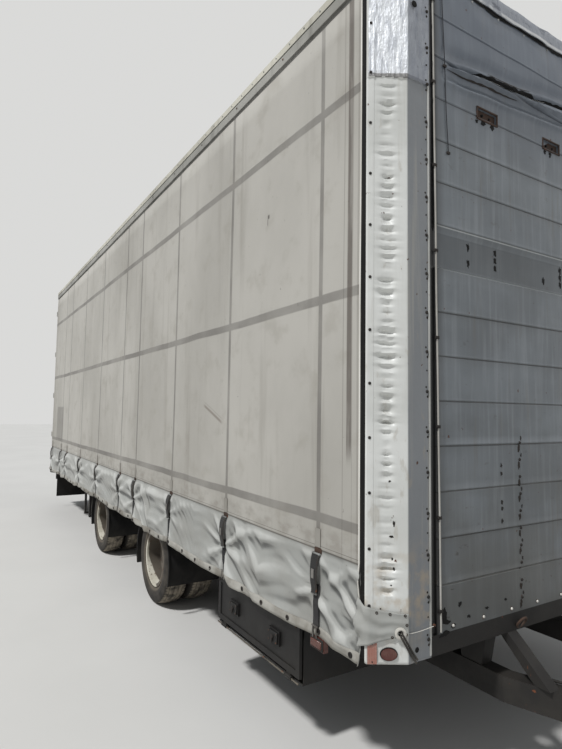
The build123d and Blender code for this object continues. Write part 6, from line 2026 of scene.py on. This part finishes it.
def drawbar_fittings():
    shape = Shape()
    jack_x = front_x + 0.560
    for shift, look in ((-0.13, coupling_red), (0.13, coupling_yellow)):
        base = Vector((jack_x + 0.13, shift, arm_top))
        shape.box((-0.02, -0.022, -0.004), (0.02, 0.022, 0.05), chassis_paint, 0.003, base)
        shape.rod(base + Vector((-0.005, 0, 0.048)), base + Vector((0.03, 0, 0.075)), 0.020, look, 16)
        shape.rod(base + Vector((0.018, 0, 0.062)), base + Vector((0.045, 0, 0.085)), 0.026, grey_steel, 16)
        arm_side = 1 if shift > 0 else -1
        start = base + Vector((-0.015, 0, 0.035))
        ends = [
            start,
            start + Vector((-0.06, 0, 0.012)),
            Vector((jack_x - 0.08, arm_side * 0.17, arm_top + 0.010)),
            Vector((jack_x - 0.28, arm_side * 0.30, arm_top + 0.010)),
            Vector((front_x + 0.06, arm_side * 0.395, arm_top + 0.010)),
        ]
        shape.tube(smooth_path(ends, 10), 0.0075, pipe_black, 8)
        for k in range(3):
            spot = ends[2].lerp(ends[4], 0.2 + 0.35 * k)
            spot.z = arm_top + 0.006
            shape.box(
                spot - Vector((0.010, 0.016, 0.008)), spot + Vector((0.010, 0.016, 0.014)), grey_steel, 0.002
            )
    socket = Vector((front_x + 0.84, 0.0, arm_top))
    shape.box((-0.03, -0.04, -0.004), (0.03, 0.04, 0.055), chassis_paint, 0.004, socket)
    shape.rod(socket + Vector((0.028, 0, 0.028)), socket + Vector((0.060, 0, 0.028)), 0.026, black_rubber, 20)
    shape.rod(socket + Vector((0.058, 0, 0.028)), socket + Vector((0.068, 0, 0.028)), 0.029, pipe_black, 20)
    plate_x = front_x + 1.100 + 0.024 + 0.020
    for y in (-0.070, 0.070):
        for dz in (-0.040, 0.040):
            shape.pin((plate_x, y, 0.39 + dz), "x", -0.001, 0.013, 0.0135, rusty_metal, 6)
            shape.pin((plate_x, y, 0.39 + dz), "x", 0.012, 0.022, 0.008, bare_metal, 10)
    jack_top_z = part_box("parking_jack")[1].z
    shape.pin((jack_x, 0, jack_top_z), "z", -0.001, 0.009, 0.022, rusty_metal, 12)
    for dx in (-0.038, 0.038):
        for dy in (-0.038, 0.038):
            shape.pin((jack_x + dx, dy, jack_top_z), "z", -0.001, 0.006, 0.0065, rusty_metal, 6)
    shape.pin((jack_x, 0, 0.31), "y", -0.062, 0.062, 0.008, bare_metal, 10)
    grip_y = -(0.045 + 0.090 - 0.010)
    grip_z = jack_top_z - 0.014 - 0.070 - 0.200
    shape.pin((jack_x, grip_y, grip_z), "y", -0.01, -0.112, 0.0165, black_rubber, 16)
    for y in (-0.36, 0.36):
        ring = [
            Vector((front_x + 0.012 + 0.018 * b, y + 0.028 * a, 0.675 + 0.028 * b))
            for a, b in circle(1.0, 16)
        ]
        shape.tube([*ring, ring[0]], 0.006, rusty_metal, 8)
    return shape.build("drawbar_fittings")


def smooth_path(points, steps):
    """A curve through the given points."""
    points = [Vector(p) for p in points]
    full = [points[0] * 2 - points[1], *points, points[-1] * 2 - points[-2]]
    out = []
    for index in range(1, len(full) - 2):
        a, b, c, d = full[index - 1:index + 3]
        for k in range(steps):
            t = k / steps
            bent = (2 * a - 5 * b + 4 * c - d) * t * t + (3 * b - a - 3 * c + d) * t ** 3
            out.append(0.5 * (2 * b + (c - a) * t + bent))
    out.append(points[-1])
    return out


def running_gear():
    """Nuts on the spring clamps, shackle pins' heads and bolts of the brake chambers."""
    shape = Shape()
    for x in axle_x.values():
        for side in (-1, 1):
            for dx in (-0.0745, 0.0745):
                for dy in (-0.0603, 0.0603):
                    spot = Vector((x + dx, side * beam_y + dy, axle_z - 0.0635 - 0.0163))
                    shape.rod(spot, spot - Vector((0, 0, 0.020)), 0.017, rusty_metal, 6)
                    shape.rod(
                        spot - Vector((0, 0, 0.019)), spot - Vector((0, 0, 0.040)), 0.010, rusty_metal, 10
                    )
                    top = spot + Vector((0, 0, 2 * 0.0635 + 0.026 + 0.048 + 0.0326))
                    shape.rod(
                        top - Vector((0, 0, 0.001)), top + Vector((0, 0, 0.018)), 0.0165, rusty_metal, 6
                    )
            chamber = Vector((x - 0.115 - 0.060 - 0.012 - 0.075, side * 0.300, axle_z - 0.040 + 0.092))
            for k in range(2):
                angle = math.pi * (0.25 + k)
                spot = chamber + Vector((0, 0.088 * math.cos(angle), 0.088 * math.sin(angle)))
                shape.rod(spot - Vector((0.014, 0, 0)), spot + Vector((0.014, 0, 0)), 0.006, rusty_metal, 6)
            for end in (-1, 1):
                for plate in (-1, 1):
                    y = side * beam_y + plate * (0.040 + 0.010 + 0.008)
                    spot = Vector((x + end * 0.5, y, axle_z + 0.0635 + 0.026 + 0.032 + 0.052 + 0.026))
                    shape.rod(
                        spot - Vector((0, plate * 0.001, 0)),
                        spot + Vector((0, plate * 0.010, 0)),
                        0.018,
                        rusty_metal,
                        6,
                    )
    return shape.build("running_gear_fittings")


def side_lamps():
    shape = Shape()
    low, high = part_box("side_markers")
    x = behind(0.450)
    z = low.z + 0.030
    for side in sides.values():
        face = side * high.y
        shape.box(
            (x - 0.052, min(face - side * 0.002, face + side * 0.006), z - 0.026),
            (x + 0.052, max(face - side * 0.002, face + side * 0.006), z + 0.026),
            black_rubber,
            0.003,
        )
        shape.box(
            (x - 0.042, min(face, face + side * 0.012), z - 0.018),
            (x + 0.042, max(face, face + side * 0.012), z + 0.018),
            marker_lamp,
            0.005,
        )
    return shape.build("side_lamps")


# Everything on the trailer

for name, side in sides.items():
    cloth = curtain(name)
    hem_strip = hem(name)
    rings = eyelets(name)
    buckles = straps(name)
    front_post(name)
    post_fittings(name)
    flap_piece, ties = flap(name)
    door_seals(name)
    rod_fittings(name)
front_wall()
wall_fittings()
crumpled("front_cap", "front_cap_skin", [foil], (0.05, 0.04, 0.03), 0.006, 9.0)
tyres()
wheel_fittings()
roof_trim()
roof_seams()
tail_end()
box_fittings()
chassis_lines()
drawbar_fittings()
running_gear()
side_lamps()

# The floor, the backdrop, the lights and the camera


def studio():
    look = Look("studio_floor", 0.9, specular=0.1)
    look.cloud((208, 207, 204), (204, 203, 200), 0.3, 0.7, 0.6, 4)
    mesh = bpy.data.meshes.new("studio_floor")
    reach = 60.0
    mesh.from_pydata(
        [(-reach, -reach, 0), (reach, -reach, 0), (reach, reach, 0), (-reach, reach, 0)], [], [(0, 1, 2, 3)]
    )
    mesh.materials.append(look.done())
    floor = bpy.data.objects.new("studio_floor", mesh)
    bpy.context.scene.collection.objects.link(floor)

    world = bpy.data.worlds.new("studio")
    bpy.context.scene.world = world
    world.use_nodes = True
    nodes, links = world.node_tree.nodes, world.node_tree.links
    light = nodes["Background"]
    light.inputs["Color"].default_value = (0.92, 0.96, 1.0, 1)
    light.inputs["Strength"].default_value = 0.33
    sky = nodes.new("ShaderNodeBackground")
    sky.inputs["Color"].default_value = (0.70, 0.70, 0.69, 1)
    sky.inputs["Strength"].default_value = 1.0
    path = nodes.new("ShaderNodeLightPath")
    seen = path.outputs["Is Camera Ray"]
    for ray in ("Is Glossy Ray", "Is Transmission Ray"):
        either = nodes.new("ShaderNodeMath")
        either.operation = "MAXIMUM"
        links.new(seen, either.inputs[0])
        links.new(path.outputs[ray], either.inputs[1])
        seen = either.outputs[0]
    pick = nodes.new("ShaderNodeMixShader")
    links.new(seen, pick.inputs[0])
    links.new(light.outputs[0], pick.inputs[1])
    links.new(sky.outputs[0], pick.inputs[2])
    links.new(pick.outputs[0], nodes["World Output"].inputs["Surface"])

    for lamp_name, direction, strength, softness in (
        ("sun_key", (0.10, -0.60, 0.90), 2.7, 6),
        ("sun_fill", (0.55, 0.85, 0.55), 0.20, 60),
    ):
        lamp = bpy.data.lights.new(lamp_name, "SUN")
        lamp.energy = strength
        lamp.angle = math.radians(softness)
        lamp_object = bpy.data.objects.new(lamp_name, lamp)
        lamp_object.rotation_euler = Vector(direction).to_track_quat("Z", "Y").to_euler()
        bpy.context.scene.collection.objects.link(lamp_object)


# The camera as worked out from the photograph's vanishing points
camera_ahead = 1.686
camera_aside = 1.54
camera_height = 1.694
camera_right = Vector((0.5249, 0.8510, 0.0151))
camera_up = Vector((0.0536, -0.0508, 0.9973))
camera_back = Vector((0.8495, -0.5226, -0.0723))
focal_share = 530 / 749


def photo_camera():
    data = bpy.data.cameras.new("photo_camera")
    data.sensor_width = 36.0
    data.lens = 36.0 * focal_share
    data.clip_end = 300.0
    camera = bpy.data.objects.new("photo_camera", data)
    turn = Matrix((camera_right, camera_up, camera_back)).transposed().to_4x4()
    place = Vector((front_x + camera_ahead, -half_width - camera_aside, camera_height))
    camera.matrix_world = Matrix.Translation(place) @ turn
    bpy.context.scene.collection.objects.link(camera)
    bpy.context.scene.camera = camera


studio()
photo_camera()
bpy.context.scene.view_settings.view_transform = "Standard"

# Materials of the CAD pieces that stay

kept_looks = {
    chassis_paint: (
        "main_beams", "cross_members", "front_beam", "drawbar", "parking_jack", "axles", "leaf_springs",
        "spare_wheel_carrier", "air_tank", "underrun_guard", "towing_eye",
    ),
    box_black: ("tool_box", "tool_box_door", "curtain_poles"),
    aluminium: ("side_rails", "side_posts", "roof_rails", "roof_bows"),
    roof_sheet: ("roof_panel",),
    white_paint: ("front_post_right", "front_post_left", "front_cap", "front_wall"),
    door_sheet: ("rear_door_right", "rear_door_left", "rear_posts", "rear_header", "rear_sill"),
    bare_metal: ("lock_rods_right", "lock_rods_left"),
    black_rubber: ("rear_mud_flap", "corner_markers", "mudguards"),
    deck_wood: ("floor_deck",),
    red_lamp: ("tail_lamps",),
    marker_lamp: ("side_markers",),
    wheel_paint: (
        "spare_rim", "wheel_front_right", "wheel_front_left", "wheel_rear_right", "wheel_rear_left",
    ),
    tyre_rubber: (
        "spare_tyre", "tyres_front_right", "tyres_front_left", "tyres_rear_right", "tyres_rear_left",
    ),
}
for look, names in kept_looks.items():
    for name in names:
        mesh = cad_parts[name].data
        mesh.materials.clear()
        mesh.materials.append(look)
